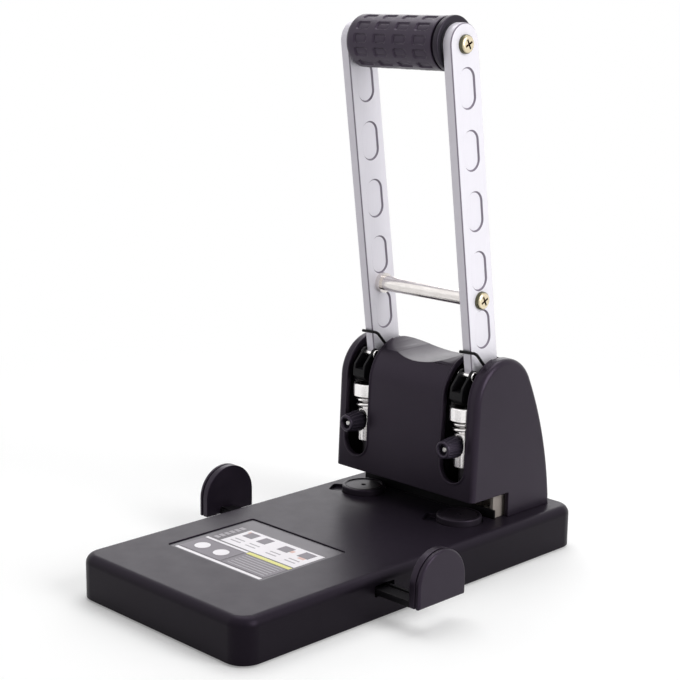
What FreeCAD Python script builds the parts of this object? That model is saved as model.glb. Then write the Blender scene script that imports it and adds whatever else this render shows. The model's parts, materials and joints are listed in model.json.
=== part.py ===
import FreeCAD, Part
import os
from math import acos, asin, atan2, cos, degrees, hypot, pi, radians, sin, tan

# Heavy-duty two-hole paper drill, millimetres. +Z up, +X to the user's right, +Y to the back.
# The origin is on the table under the middle of the base.

V = FreeCAD.Vector
X = V(1, 0, 0)
Y = V(0, 1, 0)
Z = V(0, 0, 1)
SIDES = (("left", -1), ("right", 1))

# General fits
FIT = 0.05              # radial clearance of a shaft in its hole
GAP = 0.3               # clearance between faces that only pass each other
SEAT = 0.02             # play of a part fixed in its hole
THROUGH = 80.0          # length of a cutter that passes right through a piece
OUTSIDE = 10.0          # a cutter of the housing begins this far outside it
BLIND = 2.0             # hole beyond its screw, or short of a post's end

# Base
BASE_W = 140.0
BASE_L = 276.0
BASE_H = 25.5           # height of the moulded shell
BASE_WALL = 3.0
BASE_CORNER_R = 12.0
BASE_EDGE_R = 5.5
FOOT_H = 1.2            # rubber feet below the shell
FOOT_R = 9.0
FOOT_INSET = 18.0
PLATE_T = 1.5           # steel bottom plate
SHELL_Z = FOOT_H
TOP_Z = FOOT_H + BASE_H
INNER_Z = TOP_Z - BASE_WALL
PLATE_TOP = SHELL_Z + PLATE_T
BOSS_R = 4.0
BOSS_INSET = BASE_WALL + BOSS_R + 1.5
BOSS_END = 10.0         # outer bosses from the base's ends
BOSS_GAUGE = 39.0       # second pair ahead of the gauge's pinion
BOSS_AHEAD = 38.1       # third pair ahead of the drills
PLATE_SCREW_R = 1.5
PLATE_SCREW_L = 10.0
PLATE_HEAD_R = 2.8
PLATE_HEAD_H = 0.7
PLATE_HOLE_PLAY = 0.2   # bottom plate's holes, wider than the bosses' holes by this radius

# Label recess and plate
LABEL_X = -6.5
LABEL_FRONT = 78.0      # middle of the label behind the base's front edge
LABEL_W = 79.0
LABEL_L = 65.0
LABEL_R = 1.5
RECESS_D = 1.2
LABEL_T = 0.5

# Drilling
HOLE_SPACING = 80.0
PAPER_MARGIN = 13.0     # hole centre to paper edge
DRILL_D = 6.0
DRILL_BORE = 4.6
DRILL_INSET = 73.9      # drill axes ahead of the base's back edge

# Cutting discs in their wells
DISC_D = 27.2
DISC_PROUD = 3.9
DISC_DISH_D = 23.0
DISC_DISH = 0.4
DISC_RIM_R = 0.9
DISC_MARK_R = 1.3       # dimple in the middle of the dish
DISC_MARK_DEPTH = 0.8
DISC_OFFSET = 2.9       # drill axis behind the disc's centre
DISC_SPIGOT_R = 4.0
DISC_SPIGOT_L = 3.0
WELL_GAP = 0.6
NOTCH_W = 13.0
NOTCH_REACH = 21.5
NOTCH_DEPTH = 2.2
NOTCH_ANGLE = 208.0     # direction of the finger notch, seen from above

# Die plate and pillars
DIE_T = 5.0
DIE_HALF_W = 56.5
DIE_MARGIN = 5.0        # plate ahead of the discs
DIE_BEHIND = 62.9       # plate's back edge behind the drills
PILLAR_R = 3.0
PILLAR_X = 52.5
PILLAR_BEHIND = 53.9    # rear pillars behind the drills

# Throat and housing
THROAT_H = 15.5
THROAT_BEHIND = 22.4    # notch in the cheeks ends behind the drills
THROAT_Z = TOP_Z + THROAT_H
HOUSING_W = 114.0
HOUSING_WALL = 3.0
HOUSING_AHEAD = 11.3    # front flank at the throat, ahead of the drills
HOUSING_BEHIND = 63.8   # rear foot behind the drills
HOUSING_H = 98.5
HOUSING_R = 26.0        # arch of the side profile
ARCH_BEHIND = 17.1      # centre of the arch behind the drills
HOUSING_JOIN = 27.0     # degrees above level where the arch runs into the rear flank
HOUSING_EDGE_R = 3.5
HOUSING_TOP = TOP_Z + HOUSING_H
HOUSING_Z = HOUSING_TOP - HOUSING_R
SADDLE_R = 60.0
SADDLE_DEPTH = 7.6
SLOT_W = 18.6
SLOT_FOOT = 9.5         # slot's lower end above the throat
SLOT_BEHIND = 29.9
SLOT_FOOT_REACH = 4.0   # round foot is cut this far behind the front wall
LIP_W = 1.2
LIP_T = 0.6
LIP_ROOT = 1.0          # lip's root inside the wall
LIP_END = 4.0           # lip ends this far ahead of the pivot
POST_R = 3.6
POST_X = 20.0
POST_REAR_X = 46.0
POST_FRONT_AHEAD = 2.6
POST_REAR_BEHIND = 54.4
POST_H = 14.0
POST_SCREW_R = 1.4
POST_HOLE_R = 1.7
POST_HEAD_R = 3.0
POST_HEAD_H = 1.2
POST_FRONT_L = 12.0
POST_REAR_L = 16.0
POST_RIB_T = 3.0
POST_RIB_ROOT = 2.0     # front rib begins this far inside the front face

# Punch frames, guide plate and bushes
FRAME_T = 2.0
FRAME_GAP = 19.8        # between the two cheeks of a frame
GUIDE_T = 4.0
GUIDE_TOP = THROAT_Z + GUIDE_T
BUSH_R = 6.0
BUSH_FLANGE_R = 8.0
BUSH_FLANGE_T = 0.8
BUSH_STUB = 1.5
FRAME_FOOT_T = 2.5
FRAME_BEHIND = 47.9     # frame's foot ends behind the drills
WEB_BEHIND = 29.9
WEB_JOIN = 0.5          # web runs this far into each cheek
WEB_DOWN = 16.0         # web's top below the pivot
CHEEK_INSIDE = 3.0      # cheek's front edge behind the front wall
CHEEK_SHOULDER = 8.0    # its front edge ends this far below the arch's centre
CHEEK_RISE = 10.5       # its top above the pivot
CHEEK_TOP_AHEAD = 10.0
CHEEK_TOP_BEHIND = 9.0
CHEEK_REAR_IN = 8.0     # its rear corner inside the arch
CHEEK_REAR_UP = 24.0    # its rear edge above the base
GUIDE_INSIDE = 0.5      # guide plate behind the front wall
FRAME_SCREW_R = 2.0
FRAME_SCREW_L = 7.0
FRAME_HEAD_R = 3.6
FRAME_HEAD_H = 2.4
FRAME_SOCKET_R = 1.6
FRAME_SCREW_AHEAD = 4.0     # front screw ahead of the web
FRAME_SCREW_IN = 6.0        # rear screw inside the foot's back edge
STOP_T = 1.2
STOP_H = 5.5
STOP_ROOT = 1.5
STOP_PLAY = 0.1         # strip's play in its groove
STOP_IN = 2.5           # groove's end inside the housing's side

# Handle
PIVOT_BEHIND = 15.35    # hinge axle behind the drills
PIVOT_DOWN = 22.2       # and below the housing's top
LEAN = 7.92             # degrees forward of upright at rest
ARM_LEN = 206.5         # pivot to grip screw
ARM_W = 23.7
ARM_T = 6.6
ARM_EDGE_R = 1.4
ARM_HUB_R = 8.2
ARM_FOOT = 7.5          # straight edges of the arm end this far above the pivot
FOOT_POINT_H = 9.0      # height and depth of the pointed front edge above that
FOOT_POINT_DEEP = 3.0
DIMPLE_W = 13.5
DIMPLE_L = 24.0
DIMPLE_DEPTH = 1.1
DIMPLE_SLOPE = 0.9
DIMPLE_FIRST = 24.7     # from the grip screw down to the first dimple
DIMPLE_PITCH = 35.5
DIMPLE_COUNT = 5
BAR_DOWN = 149.1        # from the grip screw down to the cross bar
BAR_R = 4.7
BAR_COLLAR_R = 6.2
BAR_COLLAR_T = 3.0
AXLE_R = 4.0
AXLE_END = 1.3          # axle beyond the outer cheek
CLIP_R = 6.2
CLIP_T = 0.8
CLIP_DEPTH = 0.8
CLIP_MOUTH = 0.75       # half mouth, as a share of the seat's radius
SPACER_WALL = 2.0
HANDLE_SWING = 48.0     # degrees
GRIP_R = 15.5
GRIP_WALL = 3.5
GRIP_CORE_BORE = 9.0
GRIP_RING_T = 3.4
GRIP_NECK_T = 2.0
GRIP_NECK_DEEP = 1.4
GRIP_LIP = 0.8          # flat left at the sleeve's rounded end
GRIP_CELLS_IN = 4.2     # cells begin this far from the left end
GRIP_CELLS_SHORT = 7.0  # and take up the sleeve's length less this
RING_PROUD = 0.4
RING_ROUND = 0.8
PLUG_LAP = 0.5          # end plugs run this far into the core's wall
GRIP_COLUMNS = 4
GRIP_ROWS = 12
CELL_W = 9.5
CELL_H = 5.2
CELL_DEPTH = 0.9
SCREW_R = 2.4
SCREW_HEAD_R = 5.4
SCREW_HEAD_H = 3.0
SCREW_L = 16.0
SCREW_SHORT = 4.0       # shank ends this far before its hole does
SCREW_BLADE = 1.2
SCREW_CROSS = 0.55      # reach and depth of the cross, as shares of the head
SCREW_CROWN = 0.7       # rounding of the head, as a share of its height
SCREW_TURN = 20.0

# Press cams, caps, chucks, drills
DRILL_STROKE_LEFT = 0.5     # drill tip above the dish at full stroke
CAP_DOWN = 6.3          # cap's top below the pivot
CAP_R = 9.5
CAP_H = 8.2
CAP_STEM_R = 4.2
CAP_STEM_L = 11.3
CAP_EAR_H = 5.0
CAP_EAR_T = 0.9
CAP_EAR_W = 6.0
CAP_EAR_LEAN = 2.0
CAP_EAR_FRONT = 2.4     # foot of the ear ahead of the drill
CAP_EAR_ROOT = 1.5      # ear's root below the cap's top
CAP_EDGE = 0.5
CAM_T = 9.4
CAM_GAP = 0.3
CAM_HUB_R = 5.9
CAM_BROW = 18.0         # degrees that the nose's round goes on past the involute
CAM_FORK = 3.5          # level above the pivot where the fork opens
CAM_STEPS = 12
EAR_FRONT = 160.0       # degrees round the fork pin where the ear begins, peaks and ends
EAR_PEAK = 110.0
EAR_BACK = 63.0
PIN_FRONT = 13.95       # fork pin ahead of the pivot
PIN_UP = 12.1
PIN_R = 1.6
PIN_HEAD_R = 2.8
PIN_HEAD_H = 1.1
PIN_CROWN = 0.6         # rounding of the pin's heads, as a share of their height
PIN_EAR_R = 3.4
CHUCK_R = 6.5
CHUCK_PLAY = 0.15       # chuck above the bush at full stroke
CHUCK_ARM_UP = 2.5
CHUCK_ARM_T = 3.4
CHUCK_ARM_W = 7.0
CHUCK_ARM_END = 1.0     # arm beyond the return spring
CHUCK_EDGE = 0.4
MOUTH_EDGE = 0.15       # wall left at the drill's cutting edge
MOUTH_DEPTH = 1.6
KNOB_DOWN = 23.3        # knob below the cap's top
KNOB_AHEAD = 19.7       # its face ahead of the drills
KNOB_L = 12.0
KNOB_R = 5.3
KNOB_BACK_R = 6.9
KNOB_FLUTES = 16
KNOB_EDGE = 0.6
KNOB_RECESS_R = 3.1
KNOB_RECESS_D = 3.4
FLUTE_R = 0.75
FLUTE_OUT = 0.35        # flute's axis outside the knob's face radius
FLUTE_FROM = 1.8
CLAMP_R = 1.6
CLAMP_BACK = 1.6        # screw's end behind the knob's face
CLAMP_EDGE = 0.4
SPRING_H = 7.8          # between cap and chuck
SPRING_WIRE = 1.1
SPRING_R = 6.3
SPRING_TURNS = 1.75
SPRING_START = 120.0    # degrees
RETURN_WIRE = 0.5
RETURN_R = 2.6
RETURN_TURNS = 11
RETURN_BEHIND = 18.9
RETURN_L = 15.6
ANCHOR_R = 2.0
TORSION_WIRE = 0.9
TORSION_R = 6.2
TORSION_TURNS = 1.25
TORSION_PLAY = 0.75     # coil off the frame's cheek
TORSION_UP = 27.0       # hook above the pivot
TORSION_SPREAD = 0.12   # air between its turns
TORSION_OFF = 0.1       # hook off the arm's front edge
TORSION_BEND = 2.0
TAIL_PAST = 0.8         # tail beyond the arm's inner face
TAIL_DROP = 0.6

# Paper gauge
GAUGE_AHEAD = 85.1      # pinion's centre ahead of the drills
PINION_TEETH = 14
MODULE = 1.0
BAR_W = 12.0
GAUGE_T = 3.5
GAUGE_Z = 14.5
GAUGE_END = -44.0       # inner end of the right bar
STOP_REACH = 30.5       # outer face of a side stop beyond the base's side
STOP_PLATE_T = 7.5
STOP_W = 37.4
STOP_RISE = 29.7
STOP_RIGHT_SHIFT = -0.3     # side stops' middles behind the pinion
STOP_LEFT_SHIFT = 16.0
STOP_GROOVE = 1.0
STOP_GROOVE_IN = 3.6    # groove inside the outer face
STOP_EDGE = 0.9
SLIT_BELOW = 0.4        # slit in the base's wall, below and above a bar
SLIT_ABOVE = 2.4
TRAY_CLEAR = 3.0        # tray inside the base's wall
TRAY_T = 3.0
COVER_T = 1.2
STUB_R = 3.0
GAUGE_RAIL = 5.0        # width of the tray's rails and the cover's screw lands
GAUGE_SCREW_R = 1.25
GAUGE_SCREW_L = 8.0
GAUGE_HEAD_R = 2.4
GAUGE_HEAD_H = 1.4
GAUGE_LEG_R = 3.5
GAUGE_SCREW_IN = 8.0    # screws inside the tray's ends
GAUGE_HOLE_PLAY = 0.35
ISLAND_START = 20.0     # islands between the bars begin this far from the middle
TOOTH_HIGH = 0.8        # stub tooth, in modules
TOOTH_PLAY = 0.12
PRESSURE = radians(20)
GAUGE_RIB_W = 2.0
GAUGE_RIB_H = 1.2
RIB_BACK = 0.8          # rib behind the bar's edge, as a share of its width
RACK_END = 26.0         # teeth stop this far inside the base's side
RIB_RUN = 24.0          # travel of the ribs inward of there

# Chip drawer
DRAWER_HALF_W = 46.0
DRAWER_BEHIND = 25.9    # drawer's inner end behind the drills
DRAWER_H = 12.0
DRAWER_WALL = 1.8
CHUTE_HALF_W = 24.0
CHUTE_BEHIND = 29.9
CHUTE_L = 22.0
PULL_R = 6.0            # finger scoop in the drawer's face
PULL_W = 24.0
PULL_OUT = 4.5

# Values that follow from those above
DRILL_X = HOLE_SPACING / 2
DRILL_Y = BASE_L / 2 - DRILL_INSET
STOP_Y = DRILL_Y + PAPER_MARGIN
DISC_Y = DRILL_Y - DISC_OFFSET
LABEL_Y = LABEL_FRONT - BASE_L / 2
GAUGE_Y = DRILL_Y - GAUGE_AHEAD
BOSS_YS = (BOSS_END - BASE_L / 2, GAUGE_Y - BOSS_GAUGE, DRILL_Y - BOSS_AHEAD, BASE_L / 2 - BOSS_END)
DIE_FRONT = DISC_Y - DISC_D / 2 - DIE_MARGIN
DIE_BACK = DRILL_Y + DIE_BEHIND
PILLAR_BACK = DRILL_Y + PILLAR_BEHIND
THROAT_BACK = DRILL_Y + THROAT_BEHIND
HOUSING_FRONT = DRILL_Y - HOUSING_AHEAD
HOUSING_BACK = DRILL_Y + HOUSING_BEHIND
HOUSING_Y = DRILL_Y + ARCH_BEHIND
SLOT_BACK = DRILL_Y + SLOT_BEHIND
POST_FRONT_Y = DRILL_Y - POST_FRONT_AHEAD
POST_REAR_Y = DRILL_Y + POST_REAR_BEHIND
FRAME_FOOT_BACK = DRILL_Y + FRAME_BEHIND
WEB_Y = DRILL_Y + WEB_BEHIND
RETURN_Y = DRILL_Y + RETURN_BEHIND
DRAWER_FRONT = DRILL_Y + DRAWER_BEHIND
CHUTE_FRONT = DRILL_Y + CHUTE_BEHIND
CHUTE_BACK = CHUTE_FRONT + CHUTE_L
STOP_OUT = BASE_W / 2 + STOP_REACH
TRAY_HALF_W = BASE_W / 2 - BASE_WALL - TRAY_CLEAR
PIVOT_Y = DRILL_Y + PIVOT_BEHIND
PIVOT_Z = HOUSING_TOP - PIVOT_DOWN
PIVOT = V(0, PIVOT_Y, PIVOT_Z)
CAM_BASE = PIVOT_BEHIND
SWING = radians(HANDLE_SWING)
STROKE = CAM_BASE * SWING
DISC_TOP = TOP_Z + DISC_PROUD
DRILL_TIP = DISC_TOP - DISC_DISH + DRILL_STROKE_LEFT + STROKE
CAP_TOP = PIVOT_Z - CAP_DOWN
CAP_FOOT = CAP_TOP - CAP_H
CHUCK_TOP = CAP_FOOT - SPRING_H
CHUCK_FOOT = GUIDE_TOP + BUSH_FLANGE_T + STROKE + CHUCK_PLAY
CHUCK_ARM_Z = CHUCK_FOOT + CHUCK_ARM_UP
DRILL_TOP = CAP_FOOT - CAP_STEM_L - GAP
KNOB_Z = CAP_TOP - KNOB_DOWN
KNOB_FRONT = DRILL_Y - KNOB_AHEAD
RETURN_TOP = CHUCK_ARM_Z + CHUCK_ARM_T + RETURN_L
LEAN_RAD = radians(LEAN)
PITCH_R = MODULE * PINION_TEETH / 2
TRAY_TOP = GAUGE_Z - GAP
COVER_Z = GAUGE_Z + GAUGE_T + GAP
HUB_INNER = DRILL_X - ARM_T / 2
HUB_OUTER = DRILL_X + ARM_T / 2
NOTCH_END_R = NOTCH_W / 5


def box(x0, x1, y0, y1, z0, z1):
    return Part.makeBox(x1 - x0, y1 - y0, z1 - z0, V(x0, y0, z0))


def rod(start, direction, radius, length):
    return Part.makeCylinder(radius, length, start, direction)


def tube(start, direction, outer, inner, length):
    return rod(start, direction, outer, length).cut(rod(start, direction, inner, length))


def mirrored(shape):
    return shape.mirror(V(0, 0, 0), X)


def placed(shape, side):
    """A piece drawn on the right, on the side asked for."""
    return shape if side > 0 else mirrored(shape)


def beside(shape, side):
    """A piece drawn about the right drill, moved unmirrored to the side asked for."""
    return shape if side > 0 else shape.translated(V(-HOLE_SPACING, 0, 0))


def joined(shapes):
    return shapes[0].fuse(shapes[1:]).removeSplitter()


def extruded(edges, vector):
    return Part.Face(Part.Wire(edges)).extrude(vector)


def line(a, b):
    return Part.makeLine(a, b)


def arc(a, middle, b):
    return Part.Arc(a, middle, b).toShape()


def leaned(shape):
    """Puts a handle piece, drawn upright about the pivot, at its rest angle."""
    turned = shape.rotated(V(0, 0, 0), X, LEAN)
    return turned.translated(PIVOT)


# Base

def rounded_block(half_w, y0, y1, z0, z1, corner):
    block = box(-half_w, half_w, y0, y1, z0, z1)
    upright = [e for e in block.Edges if abs(e.tangentAt(e.FirstParameter).z) > 0.9]
    return block.makeFillet(corner, upright)


def notch_pocket(x, depth):
    """Finger notch that runs out of a disc well."""
    pocket = box(0, NOTCH_REACH, -NOTCH_W / 2, NOTCH_W / 2, TOP_Z - depth, TOP_Z + 1)
    ends = [e for e in pocket.Edges
            if abs(e.tangentAt(e.FirstParameter).z) > 0.9 and e.CenterOfMass.x > NOTCH_REACH / 2]
    pocket = pocket.makeFillet(NOTCH_END_R, ends)
    return pocket.rotated(V(0, 0, 0), Z, NOTCH_ANGLE).translated(V(x, DISC_Y, 0))


def boss_places():
    return [V(side * (BASE_W / 2 - BOSS_INSET), y, PLATE_TOP) for y in BOSS_YS for side in (-1, 1)]


def gauge_bar_y(side):
    """Front and back of a gauge bar's body, without its teeth."""
    if side > 0:
        return GAUGE_Y - PITCH_R - BAR_W, GAUGE_Y - PITCH_R - MODULE
    return GAUGE_Y + PITCH_R + MODULE, GAUGE_Y + PITCH_R + BAR_W


def base_shell():
    half_l = BASE_L / 2
    shell = rounded_block(BASE_W / 2, -half_l, half_l, SHELL_Z, TOP_Z, BASE_CORNER_R)
    top = [e for e in shell.Edges if e.BoundBox.ZMin > TOP_Z - 0.01]
    shell = shell.makeFillet(BASE_EDGE_R, top)
    inside = rounded_block(BASE_W / 2 - BASE_WALL, -half_l + BASE_WALL, half_l - BASE_WALL,
                           SHELL_Z - 1, INNER_Z, BASE_CORNER_R - BASE_WALL)
    shell = shell.cut(inside)
    bosses = [rod(p, Z, BOSS_R, INNER_Z - PLATE_TOP) for p in boss_places()]
    shell = shell.fuse(bosses)
    cuts = [rod(p, Z, PLATE_SCREW_R, PLATE_SCREW_L + BLIND) for p in boss_places()]
    recess = box(LABEL_X - LABEL_W / 2, LABEL_X + LABEL_W / 2,
                 LABEL_Y - LABEL_L / 2, LABEL_Y + LABEL_L / 2, TOP_Z - RECESS_D, TOP_Z + 1)
    upright = [e for e in recess.Edges if abs(e.tangentAt(e.FirstParameter).z) > 0.9]
    cuts.append(recess.makeFillet(LABEL_R, upright))
    for side in (-1, 1):
        cuts.append(rod(V(side * DRILL_X, DISC_Y, INNER_Z - 1), Z, DISC_D / 2 + WELL_GAP, 10))
        cuts.append(notch_pocket(side * DRILL_X, NOTCH_DEPTH))
        inner = DRILL_X - FRAME_GAP / 2 - FRAME_T - GAP
        outer = DRILL_X + FRAME_GAP / 2 + FRAME_T + GAP
        window = box(inner, outer, STOP_Y + STOP_T, FRAME_FOOT_BACK + GAP, INNER_Z - 1, TOP_Z + 1)
        cuts.append(placed(window, side))
        front, back = gauge_bar_y(side)
        slit = box(BASE_W / 2 - BASE_WALL - 1, BASE_W / 2 + 1, front - 2 * MODULE, back + 2 * MODULE,
                   GAUGE_Z - SLIT_BELOW, GAUGE_Z + GAUGE_T + SLIT_ABOVE)
        cuts.append(placed(slit, side))
    cuts.append(box(-HOUSING_W / 2 + STOP_IN, HOUSING_W / 2 - STOP_IN, STOP_Y, STOP_Y + STOP_T + STOP_PLAY,
                    TOP_Z - STOP_ROOT, TOP_Z + 1))
    cuts.append(box(-CHUTE_HALF_W, CHUTE_HALF_W, CHUTE_FRONT, CHUTE_BACK, INNER_Z - 1, TOP_Z + 1))
    cuts.append(box(-DRAWER_HALF_W - GAP, DRAWER_HALF_W + GAP, half_l - BASE_WALL - 1, half_l + 1,
                    PLATE_TOP, PLATE_TOP + DRAWER_H + 2 * GAP))
    for side in (-1, 1):
        cuts.append(rod(V(side * POST_REAR_X, POST_REAR_Y, INNER_Z - 1), Z, POST_HOLE_R, 6))
    return shell.cut(cuts)


def base_plate():
    inset = BASE_WALL + GAP
    plate = rounded_block(BASE_W / 2 - inset, -BASE_L / 2 + inset, BASE_L / 2 - inset,
                          SHELL_Z, PLATE_TOP, BASE_CORNER_R - inset)
    holes = [rod(V(p.x, p.y, 0), Z, PLATE_SCREW_R + PLATE_HOLE_PLAY, 5) for p in boss_places()]
    return plate.cut(holes)


def base_screws():
    screws = []
    for p in boss_places():
        foot = V(p.x, p.y, SHELL_Z - PLATE_HEAD_H)
        head = rod(foot, Z, PLATE_HEAD_R, PLATE_HEAD_H)
        shank = rod(foot, Z, PLATE_SCREW_R - SEAT, PLATE_SCREW_L)
        screws.append(joined([head, shank]))
    return Part.makeCompound(screws)


def rubber_feet():
    feet = []
    for x in (-1, 1):
        for y in (-1, 1):
            at = V(x * (BASE_W / 2 - FOOT_INSET - BOSS_INSET), y * (BASE_L / 2 - FOOT_INSET), 0)
            foot = rod(at, Z, FOOT_R, FOOT_H)
            rim = [e for e in foot.Edges if e.BoundBox.ZMax < 0.01]
            feet.append(foot.makeChamfer(FOOT_H / 3, rim))
    return Part.makeCompound(feet)


def label_plate():
    half_w = LABEL_W / 2 - GAP
    half_l = LABEL_L / 2 - GAP
    z = TOP_Z - RECESS_D
    label = box(LABEL_X - half_w, LABEL_X + half_w, LABEL_Y - half_l, LABEL_Y + half_l, z, z + LABEL_T)
    upright = [e for e in label.Edges if abs(e.tangentAt(e.FirstParameter).z) > 0.9]
    return label.makeFillet(LABEL_R, upright)


def die_plate():
    plate = box(-DIE_HALF_W, DIE_HALF_W, DIE_FRONT, DIE_BACK, INNER_Z - DIE_T, INNER_Z)
    cuts = [box(-CHUTE_HALF_W, CHUTE_HALF_W, CHUTE_FRONT, CHUTE_BACK, 0, TOP_Z)]
    for side in (-1, 1):
        cuts.append(rod(V(side * DRILL_X, DISC_Y, 0), Z, DISC_SPIGOT_R + FIT, TOP_Z))
        cuts.append(rod(V(side * POST_REAR_X, POST_REAR_Y, 0), Z, POST_HOLE_R, TOP_Z))
        for y in frame_screw_ys():
            cuts.append(rod(V(side * DRILL_X, y, 0), Z, FRAME_SCREW_R, TOP_Z))
    return plate.cut(cuts)


def support_pillars():
    floor = PLATE_TOP
    height = INNER_Z - DIE_T - floor
    front_y = DISC_Y - DISC_D / 2
    places = [V(s * DRILL_X, front_y, floor) for s in (-1, 1)]
    places += [V(s * PILLAR_X, PILLAR_BACK, floor) for s in (-1, 1)]
    return Part.makeCompound([rod(p, Z, PILLAR_R, height) for p in places])


def cutting_disc(side):
    at = V(side * DRILL_X, DISC_Y, INNER_Z)
    disc = rod(at, Z, DISC_D / 2, DISC_TOP - INNER_Z)
    rim = [e for e in disc.Edges if e.BoundBox.ZMin > DISC_TOP - 0.01]
    disc = disc.makeFillet(DISC_RIM_R, rim)
    dish = rod(V(at.x, at.y, DISC_TOP - DISC_DISH), Z, DISC_DISH_D / 2, 2)
    mark = rod(V(at.x, at.y, DISC_TOP - DISC_DISH - DISC_MARK_DEPTH), Z, DISC_MARK_R, 2)
    spigot = rod(at - Z * DISC_SPIGOT_L, Z, DISC_SPIGOT_R, DISC_SPIGOT_L)
    return disc.cut([dish, mark]).fuse(spigot).removeSplitter()


def chip_drawer():
    floor = PLATE_TOP + GAP
    back = BASE_L / 2
    body = box(-DRAWER_HALF_W, DRAWER_HALF_W, DRAWER_FRONT, back, floor, floor + DRAWER_H)
    hollow = box(-DRAWER_HALF_W + DRAWER_WALL, DRAWER_HALF_W - DRAWER_WALL, DRAWER_FRONT + DRAWER_WALL,
                 back - BASE_WALL, floor + DRAWER_WALL, floor + DRAWER_H + 1)
    pull = rod(V(-PULL_W / 2, back + PULL_OUT, floor + DRAWER_H / 2), X, PULL_R, PULL_W)
    return body.cut([hollow, pull])


# Paper gauge

def gear_outline():
    """Stub involute teeth; a tooth space faces each rack at rest."""
    base = PITCH_R * cos(PRESSURE)
    tip = PITCH_R + TOOTH_HIGH * MODULE
    root = PITCH_R - MODULE
    half_tooth = pi / (2 * PINION_TEETH) - TOOTH_PLAY / PITCH_R
    involute_pitch = tan(PRESSURE) - PRESSURE
    points = []
    for tooth in range(PINION_TEETH):
        middle = (tooth + 0.5) * 2 * pi / PINION_TEETH + pi / 2
        flank = []
        for step in range(4):
            r = base + (tip - base) * step / 3
            roll = acos(base / r)
            half = half_tooth + involute_pitch - (tan(roll) - roll)
            flank.append((r, half))
        left = [(root, flank[0][1])] + flank
        points += [V(r * cos(middle - a), r * sin(middle - a), 0) for r, a in left]
        points += [V(r * cos(middle + a), r * sin(middle + a), 0) for r, a in reversed(left)]
    return points


def gauge_pinion():
    points = gear_outline()
    face = Part.Face(Part.makePolygon(points + points[:1]))
    gear = face.extrude(Z * (GAUGE_T - GAP))
    gear = gear.cut(rod(V(0, 0, -1), Z, STUB_R + FIT, GAUGE_T + 2))
    return gear.translated(V(0, GAUGE_Y, GAUGE_Z))


def rack_teeth(x0, x1, base_y, inward):
    """Trapezoid teeth on a bar's inner edge, with one centred on the pinion at rest."""
    pitch = pi * MODULE
    slope = tan(PRESSURE)
    deep = MODULE
    high = TOOTH_HIGH * MODULE
    half = pitch / 4 - TOOTH_PLAY
    line_y = GAUGE_Y - inward * PITCH_R
    points = [V(x0, base_y, GAUGE_Z)]
    first = int(x0 / pitch) + 1
    last = int(x1 / pitch) - 1
    for n in range(first, last + 1):
        x = n * pitch
        root_y = line_y - inward * deep
        tip_y = line_y + inward * high
        points += [V(x - half - deep * slope, root_y, GAUGE_Z), V(x - half + high * slope, tip_y, GAUGE_Z),
                   V(x + half - high * slope, tip_y, GAUGE_Z), V(x + half + deep * slope, root_y, GAUGE_Z)]
    points.append(V(x1, base_y, GAUGE_Z))
    points.append(V(x1, base_y - inward * 2, GAUGE_Z))
    points.append(V(x0, base_y - inward * 2, GAUGE_Z))
    return Part.Face(Part.makePolygon(points + points[:1])).extrude(Z * GAUGE_T)


def gauge_bar(side):
    """Drawn on its own side: the right bar runs in front of the pinion, the left one behind."""
    front, back = gauge_bar_y(side)
    inner = STOP_OUT - STOP_PLATE_T
    start = GAUGE_END if side > 0 else -inner
    end = inner if side > 0 else -GAUGE_END
    strip = box(start, end, front, back, GAUGE_Z, GAUGE_Z + GAUGE_T)
    rack_end = BASE_W / 2 - RACK_END
    tooth_start = GAUGE_END + 1 if side > 0 else -rack_end
    tooth_end = rack_end if side > 0 else -GAUGE_END - 1
    base_y = back if side > 0 else front
    teeth = rack_teeth(tooth_start, tooth_end, base_y, side)
    rib = box(rack_end + GAUGE_RIB_W, inner, -GAUGE_RIB_W / 2, GAUGE_RIB_W / 2, 0, GAUGE_RIB_H)
    rib_y = base_y - side * RIB_BACK * GAUGE_RIB_W
    rib = placed(rib, side).translated(V(0, rib_y, GAUGE_Z + GAUGE_T))
    return joined([strip, teeth, rib])


def arch_prism(half_w, rise, x0, x1, z0):
    shoulder = z0 + rise - half_w
    edges = [line(V(x0, -half_w, z0), V(x0, -half_w, shoulder)),
             arc(V(x0, -half_w, shoulder), V(x0, 0, z0 + rise), V(x0, half_w, shoulder)),
             line(V(x0, half_w, shoulder), V(x0, half_w, z0)),
             line(V(x0, half_w, z0), V(x0, -half_w, z0))]
    return extruded(edges, X * (x1 - x0))


def side_stop(side):
    inner = STOP_OUT - STOP_PLATE_T
    half = STOP_W / 2
    plate = arch_prism(half, STOP_RISE, inner, STOP_OUT, GAUGE_Z)
    outer_rim = [e for e in plate.Edges if e.BoundBox.XMin > STOP_OUT - 0.01]
    plate = plate.makeChamfer(STOP_EDGE, outer_rim)
    groove_x = STOP_OUT - STOP_GROOVE_IN
    ring = arch_prism(half + 1, STOP_RISE + 1, groove_x, groove_x + STOP_GROOVE, GAUGE_Z)
    core = arch_prism(half - STOP_GROOVE, STOP_RISE - STOP_GROOVE, groove_x, groove_x + STOP_GROOVE, GAUGE_Z)
    plate = plate.cut(ring.cut(core))
    shift = STOP_RIGHT_SHIFT if side > 0 else STOP_LEFT_SHIFT
    return placed(plate, side).translated(V(0, GAUGE_Y + shift, 0))


def gauge_span():
    """Front and back of the channel in which both bars and the pinion lie."""
    half = PITCH_R + BAR_W + GAP
    return GAUGE_Y - half, GAUGE_Y + half


def gauge_screw_places():
    front, back = gauge_span()
    x = TRAY_HALF_W - GAUGE_SCREW_IN
    return [(sx * x, y) for y in (front - GAUGE_RAIL / 2, back + GAUGE_RAIL / 2) for sx in (-1, 1)]


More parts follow.
